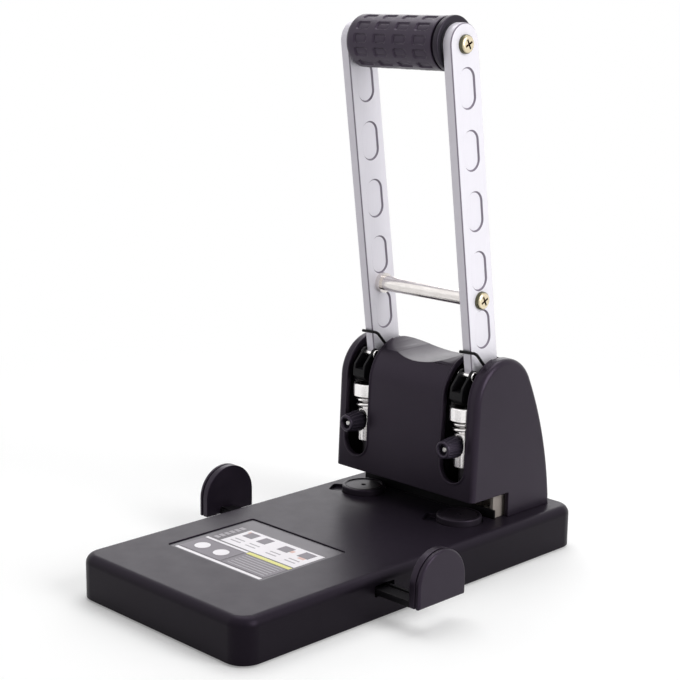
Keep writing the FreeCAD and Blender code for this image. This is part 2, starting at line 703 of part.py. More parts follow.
def gauge_tray():
    front, back = gauge_span()
    floor = box(-TRAY_HALF_W, TRAY_HALF_W, front - GAUGE_RAIL, back + GAUGE_RAIL, TRAY_TOP - TRAY_T, TRAY_TOP)
    rails = [box(-TRAY_HALF_W, TRAY_HALF_W, front - GAUGE_RAIL, front, TRAY_TOP, COVER_Z),
             box(-TRAY_HALF_W, TRAY_HALF_W, back, back + GAUGE_RAIL, TRAY_TOP, COVER_Z)]
    inner = PITCH_R - TOOTH_HIGH * MODULE - GAP
    for side in (-1, 1):
        island = box(ISLAND_START, TRAY_HALF_W, GAUGE_Y - inner, GAUGE_Y + inner, TRAY_TOP, COVER_Z)
        rails.append(placed(island, side))
    stub = rod(V(0, GAUGE_Y, TRAY_TOP), Z, STUB_R, COVER_Z - TRAY_TOP)
    legs = [rod(V(x, y, PLATE_TOP), Z, GAUGE_LEG_R, TRAY_TOP - PLATE_TOP) for x, y in gauge_screw_places()]
    tray = joined([floor] + rails + [stub] + legs)
    holes = [rod(V(x, y, PLATE_TOP - 1), Z, GAUGE_SCREW_R, BASE_H) for x, y in gauge_screw_places()]
    return tray.cut(holes)


def gauge_cover():
    front, back = gauge_span()
    cover = box(-TRAY_HALF_W, TRAY_HALF_W, front - GAUGE_RAIL, back + GAUGE_RAIL, COVER_Z, COVER_Z + COVER_T)
    cuts = [rod(V(x, y, COVER_Z - 1), Z, GAUGE_SCREW_R + GAUGE_HOLE_PLAY, 5) for x, y in gauge_screw_places()]
    for side in (-1, 1):
        bar_front, bar_back = gauge_bar_y(side)
        rib_path = box(BASE_W / 2 - RACK_END - RIB_RUN, TRAY_HALF_W + 1, bar_front - GAP, bar_back + GAP,
                       COVER_Z - 1, COVER_Z + COVER_T + 1)
        cuts.append(placed(rib_path, side))
    return cover.cut(cuts)


def gauge_screws():
    z = COVER_Z + COVER_T
    screws = []
    for x, y in gauge_screw_places():
        head = rod(V(x, y, z), Z, GAUGE_HEAD_R, GAUGE_HEAD_H)
        shank = rod(V(x, y, z - GAUGE_SCREW_L), Z, GAUGE_SCREW_R - SEAT, GAUGE_SCREW_L)
        screws.append(joined([head, shank]))
    return Part.makeCompound(screws)


# Punch frames

def frame_screw_ys():
    return (WEB_Y - FRAME_SCREW_AHEAD, FRAME_FOOT_BACK - FRAME_SCREW_IN)


def frame_cheek(x0):
    """C-shaped steel cheek; its mouth is the paper throat."""
    front = HOUSING_FRONT + HOUSING_WALL + CHEEK_INSIDE
    mouth = STOP_Y + STOP_T + STOP_PLAY
    top = PIVOT_Z + CHEEK_RISE
    points = [(mouth, INNER_Z), (mouth, GUIDE_TOP), (front, GUIDE_TOP), (front, HOUSING_Z - CHEEK_SHOULDER),
              (PIVOT_Y - CHEEK_TOP_AHEAD, top), (PIVOT_Y + CHEEK_TOP_BEHIND, top),
              (HOUSING_Y + HOUSING_R - CHEEK_REAR_IN, HOUSING_Z),
              (FRAME_FOOT_BACK, TOP_Z + CHEEK_REAR_UP), (FRAME_FOOT_BACK, INNER_Z)]
    wire = [V(x0, y, z) for y, z in points]
    return Part.Face(Part.makePolygon(wire + wire[:1])).extrude(X * FRAME_T)


def punch_frame(side):
    half = FRAME_GAP / 2
    cheeks = [frame_cheek(DRILL_X - half - FRAME_T), frame_cheek(DRILL_X + half)]
    foot = box(DRILL_X - half - FRAME_T, DRILL_X + half + FRAME_T,
               STOP_Y + STOP_T + STOP_PLAY, FRAME_FOOT_BACK, INNER_Z, INNER_Z + FRAME_FOOT_T)
    web = box(DRILL_X - half - WEB_JOIN, DRILL_X + half + WEB_JOIN, WEB_Y, WEB_Y + FRAME_T,
              INNER_Z + 1, PIVOT_Z - WEB_DOWN)
    frame = joined(cheeks + [foot, web])
    holes = [rod(V(0, PIVOT_Y, PIVOT_Z), X, AXLE_R + SEAT, THROUGH),
             rod(V(0, RETURN_Y, RETURN_TOP + ANCHOR_R), X, ANCHOR_R + SEAT, THROUGH)]
    holes += [rod(V(DRILL_X, y, INNER_Z - 1), Z, FRAME_SCREW_R, 8) for y in frame_screw_ys()]
    return placed(frame.cut(holes), side)


def frame_screws():
    screws = []
    top = INNER_Z + FRAME_FOOT_T
    for side in (-1, 1):
        for y in frame_screw_ys():
            at = V(side * DRILL_X, y, top)
            head = rod(at, Z, FRAME_HEAD_R, FRAME_HEAD_H)
            socket = rod(at + Z * (FRAME_HEAD_H / 2), Z, FRAME_SOCKET_R, FRAME_HEAD_H)
            shank = rod(at - Z * FRAME_SCREW_L, Z, FRAME_SCREW_R - SEAT, FRAME_SCREW_L)
            screws.append(joined([head.cut(socket), shank]))
    return Part.makeCompound(screws)


def guide_plate():
    half = HOUSING_W / 2 - HOUSING_WALL - GAP
    front = HOUSING_FRONT + HOUSING_WALL + GUIDE_INSIDE
    plate = box(-half, half, front, STOP_Y + STOP_T - STOP_PLAY, THROAT_Z, GUIDE_TOP)
    cuts = []
    for side in (-1, 1):
        cuts.append(rod(V(side * DRILL_X, DRILL_Y, 0), Z, BUSH_R + SEAT, THROUGH))
        cuts.append(rod(V(side * POST_X, POST_FRONT_Y, 0), Z, POST_HOLE_R, THROUGH))
    return plate.cut(cuts)


def guide_bush(side):
    at = V(side * DRILL_X, DRILL_Y, 0)
    body = rod(at + Z * (THROAT_Z - BUSH_STUB), Z, BUSH_R, BUSH_STUB + GUIDE_T)
    flange = rod(at + Z * GUIDE_TOP, Z, BUSH_FLANGE_R, BUSH_FLANGE_T)
    bore = rod(at, Z, DRILL_D / 2 + FIT, THROUGH)
    return joined([body, flange]).cut(bore)


def paper_stop():
    half = HOUSING_W / 2 - HOUSING_WALL
    return box(-half, half, STOP_Y, STOP_Y + STOP_T, TOP_Z - STOP_ROOT, TOP_Z + STOP_H)


def hinge_axle():
    cheek = DRILL_X + FRAME_GAP / 2 + FRAME_T
    half = cheek + AXLE_END
    axle = rod(V(-half, PIVOT_Y, PIVOT_Z), X, AXLE_R, 2 * half)
    groove = tube(V(cheek, PIVOT_Y, PIVOT_Z), X, AXLE_R + 1, AXLE_R - CLIP_DEPTH, CLIP_T + 0.1)
    return axle.cut([placed(groove, side) for side in (-1, 1)])


def axle_clips():
    x = DRILL_X + FRAME_GAP / 2 + FRAME_T + FIT
    seat_r = AXLE_R - CLIP_DEPTH
    ring = tube(V(x, PIVOT_Y, PIVOT_Z), X, CLIP_R, seat_r + SEAT, CLIP_T)
    half = CLIP_MOUTH * seat_r
    mouth = box(x - 1, x + 2, PIVOT_Y - half, PIVOT_Y + half, PIVOT_Z - 2 * AXLE_R, PIVOT_Z)
    return Part.makeCompound([placed(ring.cut(mouth), side) for side in (-1, 1)])


def axle_spacers():
    x0 = DRILL_X - FRAME_GAP / 2
    length = FRAME_GAP / 2 - CAM_T / 2 - GAP
    spacer = tube(V(x0, PIVOT_Y, PIVOT_Z), X, AXLE_R + SPACER_WALL, AXLE_R + SEAT, length)
    return Part.makeCompound([beside(spacer, side) for side in (-1, 1)])


def anchor_pins():
    x0 = DRILL_X - FRAME_GAP / 2 - FRAME_T
    length = FRAME_GAP + 2 * FRAME_T
    pin = rod(V(x0, RETURN_Y, RETURN_TOP + ANCHOR_R), X, ANCHOR_R, length)
    return Part.makeCompound([placed(pin, side) for side in (-1, 1)])


# Housing

def rear_flank():
    """Centre and radius of the rear flank's long arc, tangent to the arch where they join."""
    join = radians(HOUSING_JOIN)
    inward = V(0, -cos(join), -sin(join))
    start = V(0, HOUSING_Y, HOUSING_Z) - inward * HOUSING_R
    reach = V(0, HOUSING_BACK, TOP_Z) - start
    radius = reach.dot(reach) / (2 * inward.dot(reach))
    return start + inward * radius, radius


def front_angle():
    """Angle on the arch at which the front flank touches it."""
    dy = HOUSING_FRONT - HOUSING_Y
    dz = THROAT_Z - HOUSING_Z
    return atan2(dz, dy) - acos(HOUSING_R / hypot(dy, dz))


def on_circle(centre, radius, angle):
    return V(0, centre.y + radius * cos(angle), centre.z + radius * sin(angle))


def housing_profile(inset, floor):
    """Side profile, drawn inwards by an inset: front flank, arch and long rear arc."""
    arch = V(0, HOUSING_Y, HOUSING_Z)
    arch_r = HOUSING_R - inset
    flank, flank_r = rear_flank()
    flank_r -= inset
    front = front_angle()
    join = radians(HOUSING_JOIN)
    low = asin((floor - flank.z) / flank_r)
    front_top = on_circle(arch, arch_r, front)
    front_foot = V(0, front_top.y + (front_top.z - floor) * tan(front), floor)
    rear_top = on_circle(arch, arch_r, join)
    rear_foot = on_circle(flank, flank_r, low)
    return [line(front_foot, front_top), arc(front_top, on_circle(arch, arch_r, pi / 2), rear_top),
            arc(rear_top, on_circle(flank, flank_r, (low + join) / 2), rear_foot), line(rear_foot, front_foot)]


def housing_prism(inset, floor, half_w):
    solid = extruded(housing_profile(inset, floor), X * (2 * half_w))
    return solid.translated(V(-half_w, 0, 0))


def slot_cutter(grow, front_y, back_y):
    """The opening over one arm: round at its foot, open over the top, round at its back."""
    half = SLOT_W / 2 + grow
    foot_z = THROAT_Z + SLOT_FOOT + SLOT_W / 2
    high = HOUSING_TOP + OUTSIDE
    foot = rod(V(DRILL_X, front_y, foot_z), Y, half, HOUSING_FRONT + HOUSING_WALL + SLOT_FOOT_REACH - front_y)
    middle = box(DRILL_X - half, DRILL_X + half, front_y, back_y - half, foot_z, high)
    back = rod(V(DRILL_X, back_y - half, HOUSING_Z), Z, half, high - HOUSING_Z)
    return joined([foot, middle, back])


def housing_shell():
    half_w = HOUSING_W / 2
    saddle_z = HOUSING_TOP - SADDLE_DEPTH + SADDLE_R
    outer = housing_prism(0, TOP_Z, half_w)
    ends = [e for e in outer.Edges
            if abs(abs(e.CenterOfMass.x) - half_w) < 0.01 and e.BoundBox.ZMax > TOP_Z + 0.01]
    outer = outer.makeFillet(HOUSING_EDGE_R, ends)
    outer = outer.cut(rod(V(0, 0, saddle_z), Y, SADDLE_R, BASE_L))
    inner = housing_prism(HOUSING_WALL, TOP_Z - 1, half_w - HOUSING_WALL)
    inner = inner.cut(rod(V(0, 0, saddle_z), Y, SADDLE_R + HOUSING_WALL, BASE_L))
    shell = outer.cut(inner)
    posts = []
    rib = POST_RIB_T / 2
    post_z = GUIDE_TOP + FIT
    for side in (-1, 1):
        x = side * POST_X
        posts.append(rod(V(x, POST_FRONT_Y, post_z), Z, POST_R, POST_H))
        posts.append(box(x - rib, x + rib, HOUSING_FRONT + POST_RIB_ROOT, POST_FRONT_Y,
                         post_z, GUIDE_TOP + POST_H))
        x = side * POST_REAR_X
        posts.append(rod(V(x, POST_REAR_Y, TOP_Z), Z, POST_R, POST_H))
        posts.append(box(x - rib, x + rib, POST_REAR_Y, HOUSING_BACK - HOUSING_WALL, TOP_Z, TOP_Z + POST_H))
    shell = shell.fuse(posts)
    cuts = [box(-half_w - 1, half_w + 1, 0, THROAT_BACK, 0, THROAT_Z)]
    for side in (-1, 1):
        cuts.append(placed(slot_cutter(0, HOUSING_FRONT - OUTSIDE, SLOT_BACK), side))
        cuts.append(rod(V(side * POST_X, POST_FRONT_Y, 0), Z, POST_SCREW_R, GUIDE_TOP + POST_H - BLIND))
        cuts.append(rod(V(side * POST_REAR_X, POST_REAR_Y, 0), Z, POST_SCREW_R, TOP_Z + POST_H - BLIND))
    shell = shell.cut(cuts)
    lips = [placed(slot_lip(), side) for side in (-1, 1)]
    return shell.fuse(lips).removeSplitter()


def slot_lip():
    """Low moulded rim along the front part of a slot, following the flank and the arch."""
    start = HOUSING_FRONT - OUTSIDE
    rim = slot_cutter(LIP_W, start, SLOT_BACK).cut(slot_cutter(0, start, SLOT_BACK))
    skin = housing_prism(-LIP_T, TOP_Z, HOUSING_W / 2).cut(housing_prism(LIP_ROOT, TOP_Z, HOUSING_W / 2))
    front_half = box(0, HOUSING_W, 0, PIVOT_Y - LIP_END, THROAT_Z, HOUSING_TOP + OUTSIDE)
    return rim.common(skin).common(front_half)


def post_screw(x, y, z, length):
    """Screw up into one post of the housing, its head below the level z."""
    at = V(x, y, z - POST_HEAD_H)
    return joined([rod(at, Z, POST_HEAD_R, POST_HEAD_H), rod(at, Z, POST_SCREW_R - SEAT, length)])


def housing_screws():
    screws = []
    for side in (-1, 1):
        screws.append(post_screw(side * POST_X, POST_FRONT_Y, THROAT_Z, POST_FRONT_L))
        screws.append(post_screw(side * POST_REAR_X, POST_REAR_Y, INNER_Z - DIE_T, POST_REAR_L))
    return Part.makeCompound(screws)


# Handle

def arm_outline(x0, grow=0.0):
    """Arm's flat outline about the pivot, upright, in the plane x = x0."""
    half = ARM_W / 2 + grow
    hub = ARM_HUB_R + grow
    angle = atan2(ARM_FOOT, half) - acos(hub / hypot(half, ARM_FOOT))
    hub_y = hub * cos(angle)
    hub_z = hub * sin(angle)
    return [line(V(x0, -hub_y, hub_z), V(x0, -half, ARM_FOOT)),
            line(V(x0, -half, ARM_FOOT), V(x0, -half, ARM_LEN)),
            arc(V(x0, -half, ARM_LEN), V(x0, 0, ARM_LEN + half), V(x0, half, ARM_LEN)),
            line(V(x0, half, ARM_LEN), V(x0, half, ARM_FOOT)),
            line(V(x0, half, ARM_FOOT), V(x0, hub_y, hub_z)),
            arc(V(x0, hub_y, hub_z), V(x0, 0, -hub), V(x0, -hub_y, hub_z))]


def stadium(x, z, width, length):
    r = width / 2
    h = length / 2 - r
    return Part.Wire([line(V(x, -r, z - h), V(x, -r, z + h)),
                      arc(V(x, -r, z + h), V(x, 0, z + h + r), V(x, r, z + h)),
                      line(V(x, r, z + h), V(x, r, z - h)),
                      arc(V(x, r, z - h), V(x, 0, z - h - r), V(x, -r, z - h))])


def dimple(x_face, outward, z):
    slope = 2 * DIMPLE_SLOPE
    floor = stadium(x_face - outward * DIMPLE_DEPTH, z, DIMPLE_W - slope, DIMPLE_L - slope)
    mouth = stadium(x_face, z, DIMPLE_W, DIMPLE_L)
    beyond = stadium(x_face + outward, z, DIMPLE_W, DIMPLE_L)
    lower = Part.makeLoft([floor, mouth], True, True)
    upper = Part.makeLoft([mouth, beyond], True, True)
    return lower.fuse(upper)


def foot_wedges():
    """Cutters that bring the lower end of the arm's front edge to a point."""
    front = -ARM_W / 2 - 1
    top = ARM_FOOT + FOOT_POINT_H
    wedges = []
    for face, out in ((HUB_INNER, -1), (HUB_OUTER, 1)):
        points = [V(face, front, top), V(DRILL_X, front, ARM_FOOT), V(DRILL_X, front, 0),
                  V(face + out, front, 0), V(face + out, front, top)]
        wedges.append(Part.Face(Part.makePolygon(points + points[:1])).extrude(Y * (FOOT_POINT_DEEP + 1)))
    return wedges


def fork_pin_path():
    return rod(V(0, PIVOT_Y - PIN_FRONT, PIVOT_Z + PIN_UP), X, PIN_R + SEAT, THROUGH)


def handle_arm(side):
    x0 = HUB_INNER
    x1 = HUB_OUTER
    arm = extruded(arm_outline(x0), X * ARM_T)
    rims = [e for e in arm.Edges if e.BoundBox.XLength < 0.01]
    arm = arm.makeChamfer(ARM_EDGE_R / 2, rims)
    cuts = [rod(V(0, 0, 0), X, AXLE_R + FIT, THROUGH),
            rod(V(0, 0, ARM_LEN), X, SCREW_R + SEAT, THROUGH),
            rod(V(0, 0, ARM_LEN - BAR_DOWN), X, SCREW_R + SEAT, THROUGH)]
    for n in range(DIMPLE_COUNT):
        z = ARM_LEN - DIMPLE_FIRST - n * DIMPLE_PITCH
        cuts.append(dimple(x1, 1, z))
        cuts.append(dimple(x0, -1, z))
    arm = leaned(arm.cut(cuts + foot_wedges()))
    return placed(arm.cut(fork_pin_path()), side)


def cross_bar():
    half = HUB_INNER
    bar = rod(V(-half, 0, 0), X, BAR_R, 2 * half)
    collars = [placed(rod(V(half - BAR_COLLAR_T, 0, 0), X, BAR_COLLAR_R, BAR_COLLAR_T), s) for s in (-1, 1)]
    bar = joined([bar] + collars)
    holes = [placed(rod(V(half - SCREW_L, 0, 0), X, SCREW_R + SEAT, SCREW_L), s) for s in (-1, 1)]
    return leaned(bar.cut(holes).translated(V(0, 0, ARM_LEN - BAR_DOWN)))


def pan_screw(up):
    """Cross-recess pan-head screw in the right arm, its head outside."""
    at = V(HUB_OUTER, 0, 0)
    head = rod(at, X, SCREW_HEAD_R, SCREW_HEAD_H)
    rim = [e for e in head.Edges if e.BoundBox.XMin > HUB_OUTER + SCREW_HEAD_H - 0.01]
    head = head.makeFillet(SCREW_HEAD_H * SCREW_CROWN, rim)
    length = ARM_T + SCREW_L - SCREW_SHORT
    shank = rod(at - X * length, X, SCREW_R, length)
    half = SCREW_BLADE / 2
    reach = SCREW_HEAD_R * SCREW_CROSS
    deep = SCREW_HEAD_H * SCREW_CROSS
    top = HUB_OUTER + SCREW_HEAD_H
    cross = [box(top - deep, top + 1, -half, half, -reach, reach),
             box(top - deep, top + 1, -reach, reach, -half, half)]
    screw = joined([head, shank]).cut(joined(cross))
    return screw.rotated(V(0, 0, 0), X, SCREW_TURN).translated(V(0, 0, up))


def arm_screws(up):
    screw = leaned(pan_screw(up))
    return Part.makeCompound([placed(screw, side) for side in (-1, 1)])


def grip_core():
    core = tube(V(-HUB_INNER, 0, 0), X, GRIP_R - GRIP_WALL, GRIP_CORE_BORE, 2 * HUB_INNER)
    plug = rod(V(HUB_INNER - SCREW_L, 0, 0), X, GRIP_CORE_BORE + PLUG_LAP, SCREW_L)
    plug = plug.cut(rod(V(HUB_INNER - SCREW_L, 0, 0), X, SCREW_R + SEAT, SCREW_L))
    core = joined([core] + [placed(plug, side) for side in (-1, 1)])
    return leaned(core.translated(V(0, 0, ARM_LEN)))


def grip_length():
    return 2 * HUB_INNER - GRIP_RING_T - 2 * GAP


def grip_sleeve():
    """Rubber sleeve with rows of shallow cells and a neck beside the end ring."""
    start = -HUB_INNER + GAP
    sleeve = rod(V(start, 0, 0), X, GRIP_R, grip_length())
    left_rim = [e for e in sleeve.Edges if e.BoundBox.XMax < start + 0.01]
    sleeve = sleeve.makeFillet(GRIP_WALL - GRIP_LIP, left_rim)
    end = start + grip_length()
    neck = tube(V(end - GRIP_NECK_T, 0, 0), X, GRIP_R + 1, GRIP_R - GRIP_NECK_DEEP, GRIP_NECK_T + 1)
    cuts = [neck, rod(V(start - 1, 0, 0), X, GRIP_R - GRIP_WALL + SEAT, grip_length() + 2)]
    pitch = (grip_length() - GRIP_CELLS_SHORT) / GRIP_COLUMNS
    for row in range(GRIP_ROWS):
        for column in range(GRIP_COLUMNS):
            x = start + GRIP_CELLS_IN + (column + 0.5) * pitch
            cell = box(x - CELL_W / 2, x + CELL_W / 2, -CELL_H / 2, CELL_H / 2,
                       GRIP_R - CELL_DEPTH, GRIP_R + 2)
            cuts.append(cell.rotated(V(0, 0, 0), X, row * 360 / GRIP_ROWS))
    return leaned(sleeve.cut(cuts).translated(V(0, 0, ARM_LEN)))


def grip_end_ring():
    start = HUB_INNER - GRIP_RING_T - GAP
    ring = rod(V(start, 0, 0), X, GRIP_R + RING_PROUD, GRIP_RING_T)
    ring = ring.makeFillet(RING_ROUND, [e for e in ring.Edges if e.BoundBox.XLength < 0.01])
    ring = ring.cut(rod(V(start - 1, 0, 0), X, GRIP_R - GRIP_WALL + SEAT, GRIP_RING_T + 2))
    return leaned(ring.translated(V(0, 0, ARM_LEN)))


# Press cams: the face that bears on the press cap is an involute, so lift is proportional to turn.

def cam_point(turn):
    """Point of the cam, relative to the pivot at rest, that touches the cap after a turn."""
    drop = PIVOT_Z - CAP_TOP - CAM_GAP + CAM_BASE * turn
    return V(0, -CAM_BASE * cos(turn) - drop * sin(turn), CAM_BASE * sin(turn) - drop * cos(turn))


def cam_outline():
    """Involute face, rounded nose, an ear round the fork pin, and the hub."""
    face = [cam_point(SWING * n / CAM_STEPS) for n in range(CAM_STEPS + 1)]
    curve = Part.BSplineCurve()
    curve.interpolate(face)
    nose = face[-1]
    nose_r = hypot(nose.y, nose.z)
    nose_angle = atan2(nose.z, nose.y) % (2 * pi)
    brow = nose_angle - radians(CAM_BROW)
    origin = V(0, 0, 0)
    pin = V(0, -PIN_FRONT, PIN_UP)
    brow_point = on_circle(origin, nose_r, brow)
    ear_front = on_circle(pin, PIN_EAR_R, radians(EAR_FRONT))
    ear_peak = on_circle(pin, PIN_EAR_R, radians(EAR_PEAK))
    ear_back = on_circle(pin, PIN_EAR_R, radians(EAR_BACK))
    hub_top = on_circle(origin, CAM_HUB_R, radians(EAR_BACK))
    heel = on_circle(origin, CAM_HUB_R, -pi / 2)
    return [line(heel, face[0]), curve.toShape(),
            arc(nose, on_circle(origin, nose_r, (nose_angle + brow) / 2), brow_point),
            line(brow_point, ear_front), arc(ear_front, ear_peak, ear_back),
            line(ear_back, hub_top), arc(hub_top, on_circle(origin, CAM_HUB_R, 0), heel)]


def press_cam(side):
    """Lobe with a fork at its top, in which the arm stands."""
    lobe = extruded(cam_outline(), X * CAM_T)
    lobe = lobe.translated(V(DRILL_X - CAM_T / 2, PIVOT_Y, PIVOT_Z))
    arm_slot = leaned(extruded(arm_outline(HUB_INNER - SEAT, SEAT), X * (ARM_T + 2 * SEAT)))
    fork = box(HUB_INNER - SEAT, HUB_OUTER + SEAT, PIVOT_Y - THROUGH / 2, PIVOT_Y,
               PIVOT_Z + CAM_FORK, PIVOT_Z + THROUGH / 2)
    bore = rod(V(0, PIVOT_Y, PIVOT_Z), X, AXLE_R + FIT, THROUGH)
    return placed(lobe.cut([arm_slot, fork, bore, fork_pin_path()]), side)


def cam_pins():
    """Headed pin across each fork, in a groove of the arm's front edge, on which the arm pushes."""
    inner = DRILL_X - CAM_T / 2 - PIN_HEAD_H
    outer = DRILL_X + CAM_T / 2
    y = PIVOT_Y - PIN_FRONT
    z = PIVOT_Z + PIN_UP
    stem = rod(V(inner, y, z), X, PIN_R, CAM_T + 2 * PIN_HEAD_H)
    heads = []
    for x in (inner, outer):
        head = rod(V(x, y, z), X, PIN_HEAD_R, PIN_HEAD_H)
        rim = [e for e in head.Edges
               if e.BoundBox.XLength < 0.01 and abs(e.CenterOfMass.x - DRILL_X) > CAM_T / 2 + PIN_HEAD_H / 2]
        heads.append(head.makeFillet(PIN_HEAD_H * PIN_CROWN, rim))
    pin = joined([stem] + heads)
    return Part.makeCompound([placed(pin, side) for side in (-1, 1)])


def coil(radius, wire, height, turns):
    """Helical spring along +Z from the origin, from wire centre to wire centre."""
    helix = Part.makeLongHelix if turns < 2 else Part.makeHelix
    path = helix(height / turns, height, radius)
    profile = Part.Wire([Part.Circle(V(radius, 0, 0), Y, wire).toShape()])
    return Part.Wire(path.Edges).makePipeShell([profile], True, True)


def pipe(points, bend, radius):
    """Round wire along straight runs with rounded corners."""
    edges = []
    last = points[0]
    for n in range(1, len(points) - 1):
        before = (points[n - 1] - points[n]).normalize()
        after = (points[n + 1] - points[n]).normalize()
        half = before.getAngle(after) / 2
        reach = bend / tan(half)
        a = points[n] + before * reach
        b = points[n] + after * reach
        bisector = (before + after).normalize()
        middle = points[n] + bisector * (bend / sin(half) - bend)
        edges += [line(last, a), arc(a, middle, b)]
        last = b
    edges.append(line(last, points[-1]))
    start = Part.Wire([Part.Circle(points[0], points[1] - points[0], radius).toShape()])
    return Part.Wire(edges).makePipeShell([start], True, True)


def torsion_spring(side):
    """Coil round the axle outside the arm; its leg hooks over the arm's front edge."""
    wire = TORSION_WIRE
    x_start = DRILL_X + FRAME_GAP / 2 - wire - TORSION_PLAY
    height = TORSION_TURNS * (2 * wire + TORSION_SPREAD)
    front = -ARM_W / 2 / cos(LEAN_RAD) - TORSION_UP * tan(LEAN_RAD) - wire - TORSION_OFF
    reach = hypot(front, TORSION_UP)
    tangent = atan2(TORSION_UP, front) - acos(TORSION_R / reach)
    turned = coil(TORSION_R, wire, height, TORSION_TURNS).rotated(V(0, 0, 0), Y, -90)
    turned = turned.rotated(V(0, 0, 0), X, degrees(tangent) - 90)
    ring = turned.translated(V(x_start, PIVOT_Y, PIVOT_Z))
    leave = V(x_start, PIVOT_Y + TORSION_R * cos(tangent), PIVOT_Z + TORSION_R * sin(tangent))
    corner = V(x_start, PIVOT_Y + front, PIVOT_Z + TORSION_UP)
    tail = V(HUB_INNER - TAIL_PAST, PIVOT_Y + front, PIVOT_Z + TORSION_UP - TAIL_DROP)
    leg = pipe([leave, corner, tail], TORSION_BEND, wire)
    return beside(joined([ring, leg]), side)


# Drill carriers

def press_cap(side):
    at = V(side * DRILL_X, DRILL_Y, 0)
    cap = rod(at + Z * CAP_FOOT, Z, CAP_R, CAP_H)
    rims = [e for e in cap.Edges if e.BoundBox.ZLength < 0.01]
    cap = cap.makeChamfer(CAP_EDGE, rims)
    stem = rod(at + Z * (CAP_FOOT - CAP_STEM_L), Z, CAP_STEM_R, CAP_STEM_L)
    ears = [cap_ear(side * DRILL_X - CAP_R), cap_ear(side * DRILL_X + CAP_R - CAP_EAR_T)]
    return joined([cap, stem] + ears)


def cap_ear(x0):
    """Thin ear that leans forward beside the cam and keeps the cap square between the cheeks."""
    low = CAP_TOP - CAP_EAR_ROOT
    high = CAP_TOP + CAP_EAR_H
    front = DRILL_Y - CAP_EAR_FRONT
    points = [(front, low), (front + CAP_EAR_W, low), (front + CAP_EAR_W / 2 - CAP_EAR_LEAN, high),
              (front - CAP_EAR_LEAN, high)]
    wire = [V(x0, y, z) for y, z in points]
    return Part.Face(Part.makePolygon(wire + wire[:1])).extrude(X * CAP_EAR_T)


def cushion_spring(side):
    low = CHUCK_TOP + SPRING_WIRE
    high = CAP_FOOT - SPRING_WIRE
    spring = coil(SPRING_R, SPRING_WIRE, high - low, SPRING_TURNS).rotated(V(0, 0, 0), Z, SPRING_START)
    return spring.translated(V(side * DRILL_X, DRILL_Y, low))


def drill_chuck(side):
    at = V(DRILL_X, DRILL_Y, CHUCK_FOOT)
    body = rod(at, Z, CHUCK_R, CHUCK_TOP - CHUCK_FOOT)
    edge = [e for e in body.Edges if e.BoundBox.ZLength < 0.01]
    body = body.makeChamfer(CHUCK_EDGE, edge)
    arm = box(DRILL_X - CHUCK_ARM_W / 2, DRILL_X + CHUCK_ARM_W / 2,
              DRILL_Y, RETURN_Y + RETURN_R + CHUCK_ARM_END, CHUCK_ARM_Z, CHUCK_ARM_Z + CHUCK_ARM_T)
    stem_z = CAP_FOOT - CAP_STEM_L
    cuts = [rod(V(DRILL_X, DRILL_Y, 0), Z, DRILL_D / 2 + SEAT, DRILL_TOP),
            rod(V(DRILL_X, DRILL_Y, stem_z), Z, CAP_STEM_R + SEAT, 20),
            rod(V(DRILL_X, DRILL_Y - CHUCK_R - 1, KNOB_Z), Y, CLAMP_R + FIT, CHUCK_R)]
    return placed(joined([body, arm]).cut(cuts), side)


def hollow_drill(side):
    at = V(side * DRILL_X, DRILL_Y, DRILL_TIP)
    drill = tube(at, Z, DRILL_D / 2, DRILL_BORE / 2, DRILL_TOP - DRILL_TIP)
    mouth = Part.makeCone(DRILL_D / 2 - MOUTH_EDGE, DRILL_BORE / 2, MOUTH_DEPTH, at, Z)
    return drill.cut(mouth)


def return_spring(side):
    low = CHUCK_ARM_Z + CHUCK_ARM_T + RETURN_WIRE
    high = RETURN_TOP - RETURN_WIRE
    spring = coil(RETURN_R, RETURN_WIRE, high - low, RETURN_TURNS)
    return spring.translated(V(side * DRILL_X, RETURN_Y, low))


def clamp_screw(side):
    start = KNOB_FRONT + CLAMP_BACK
    end = DRILL_Y - DRILL_D / 2 - GAP
    screw = rod(V(side * DRILL_X, start, KNOB_Z), Y, CLAMP_R, end - start)
    rims = [e for e in screw.Edges if e.BoundBox.YLength < 0.01]
    return screw.makeChamfer(CLAMP_EDGE, rims)


def clamp_knob(side):
    """Fluted knob, slightly wider at its back, with a recess in its face."""
    at = V(0, KNOB_FRONT, 0)
    knob = Part.makeCone(KNOB_R, KNOB_BACK_R, KNOB_L, at, Y)
    rims = [e for e in knob.Edges if e.BoundBox.YLength < 0.01]
    knob = knob.makeChamfer(KNOB_EDGE, rims)
    cuts = [rod(at - Y, Y, CLAMP_R + FIT, KNOB_L + 2), rod(at - Y, Y, KNOB_RECESS_R, KNOB_RECESS_D)]
    lean = atan2(KNOB_BACK_R - KNOB_R, KNOB_L)
    for n in range(KNOB_FLUTES):
        foot = V(KNOB_R + FLUTE_OUT, KNOB_FRONT + FLUTE_FROM, 0)
        flute = rod(foot, V(sin(lean), cos(lean), 0), FLUTE_R, KNOB_L)
        cuts.append(flute.rotated(V(0, 0, 0), Y, n * 360 / KNOB_FLUTES))
    return knob.cut(cuts).translated(V(side * DRILL_X, 0, KNOB_Z))


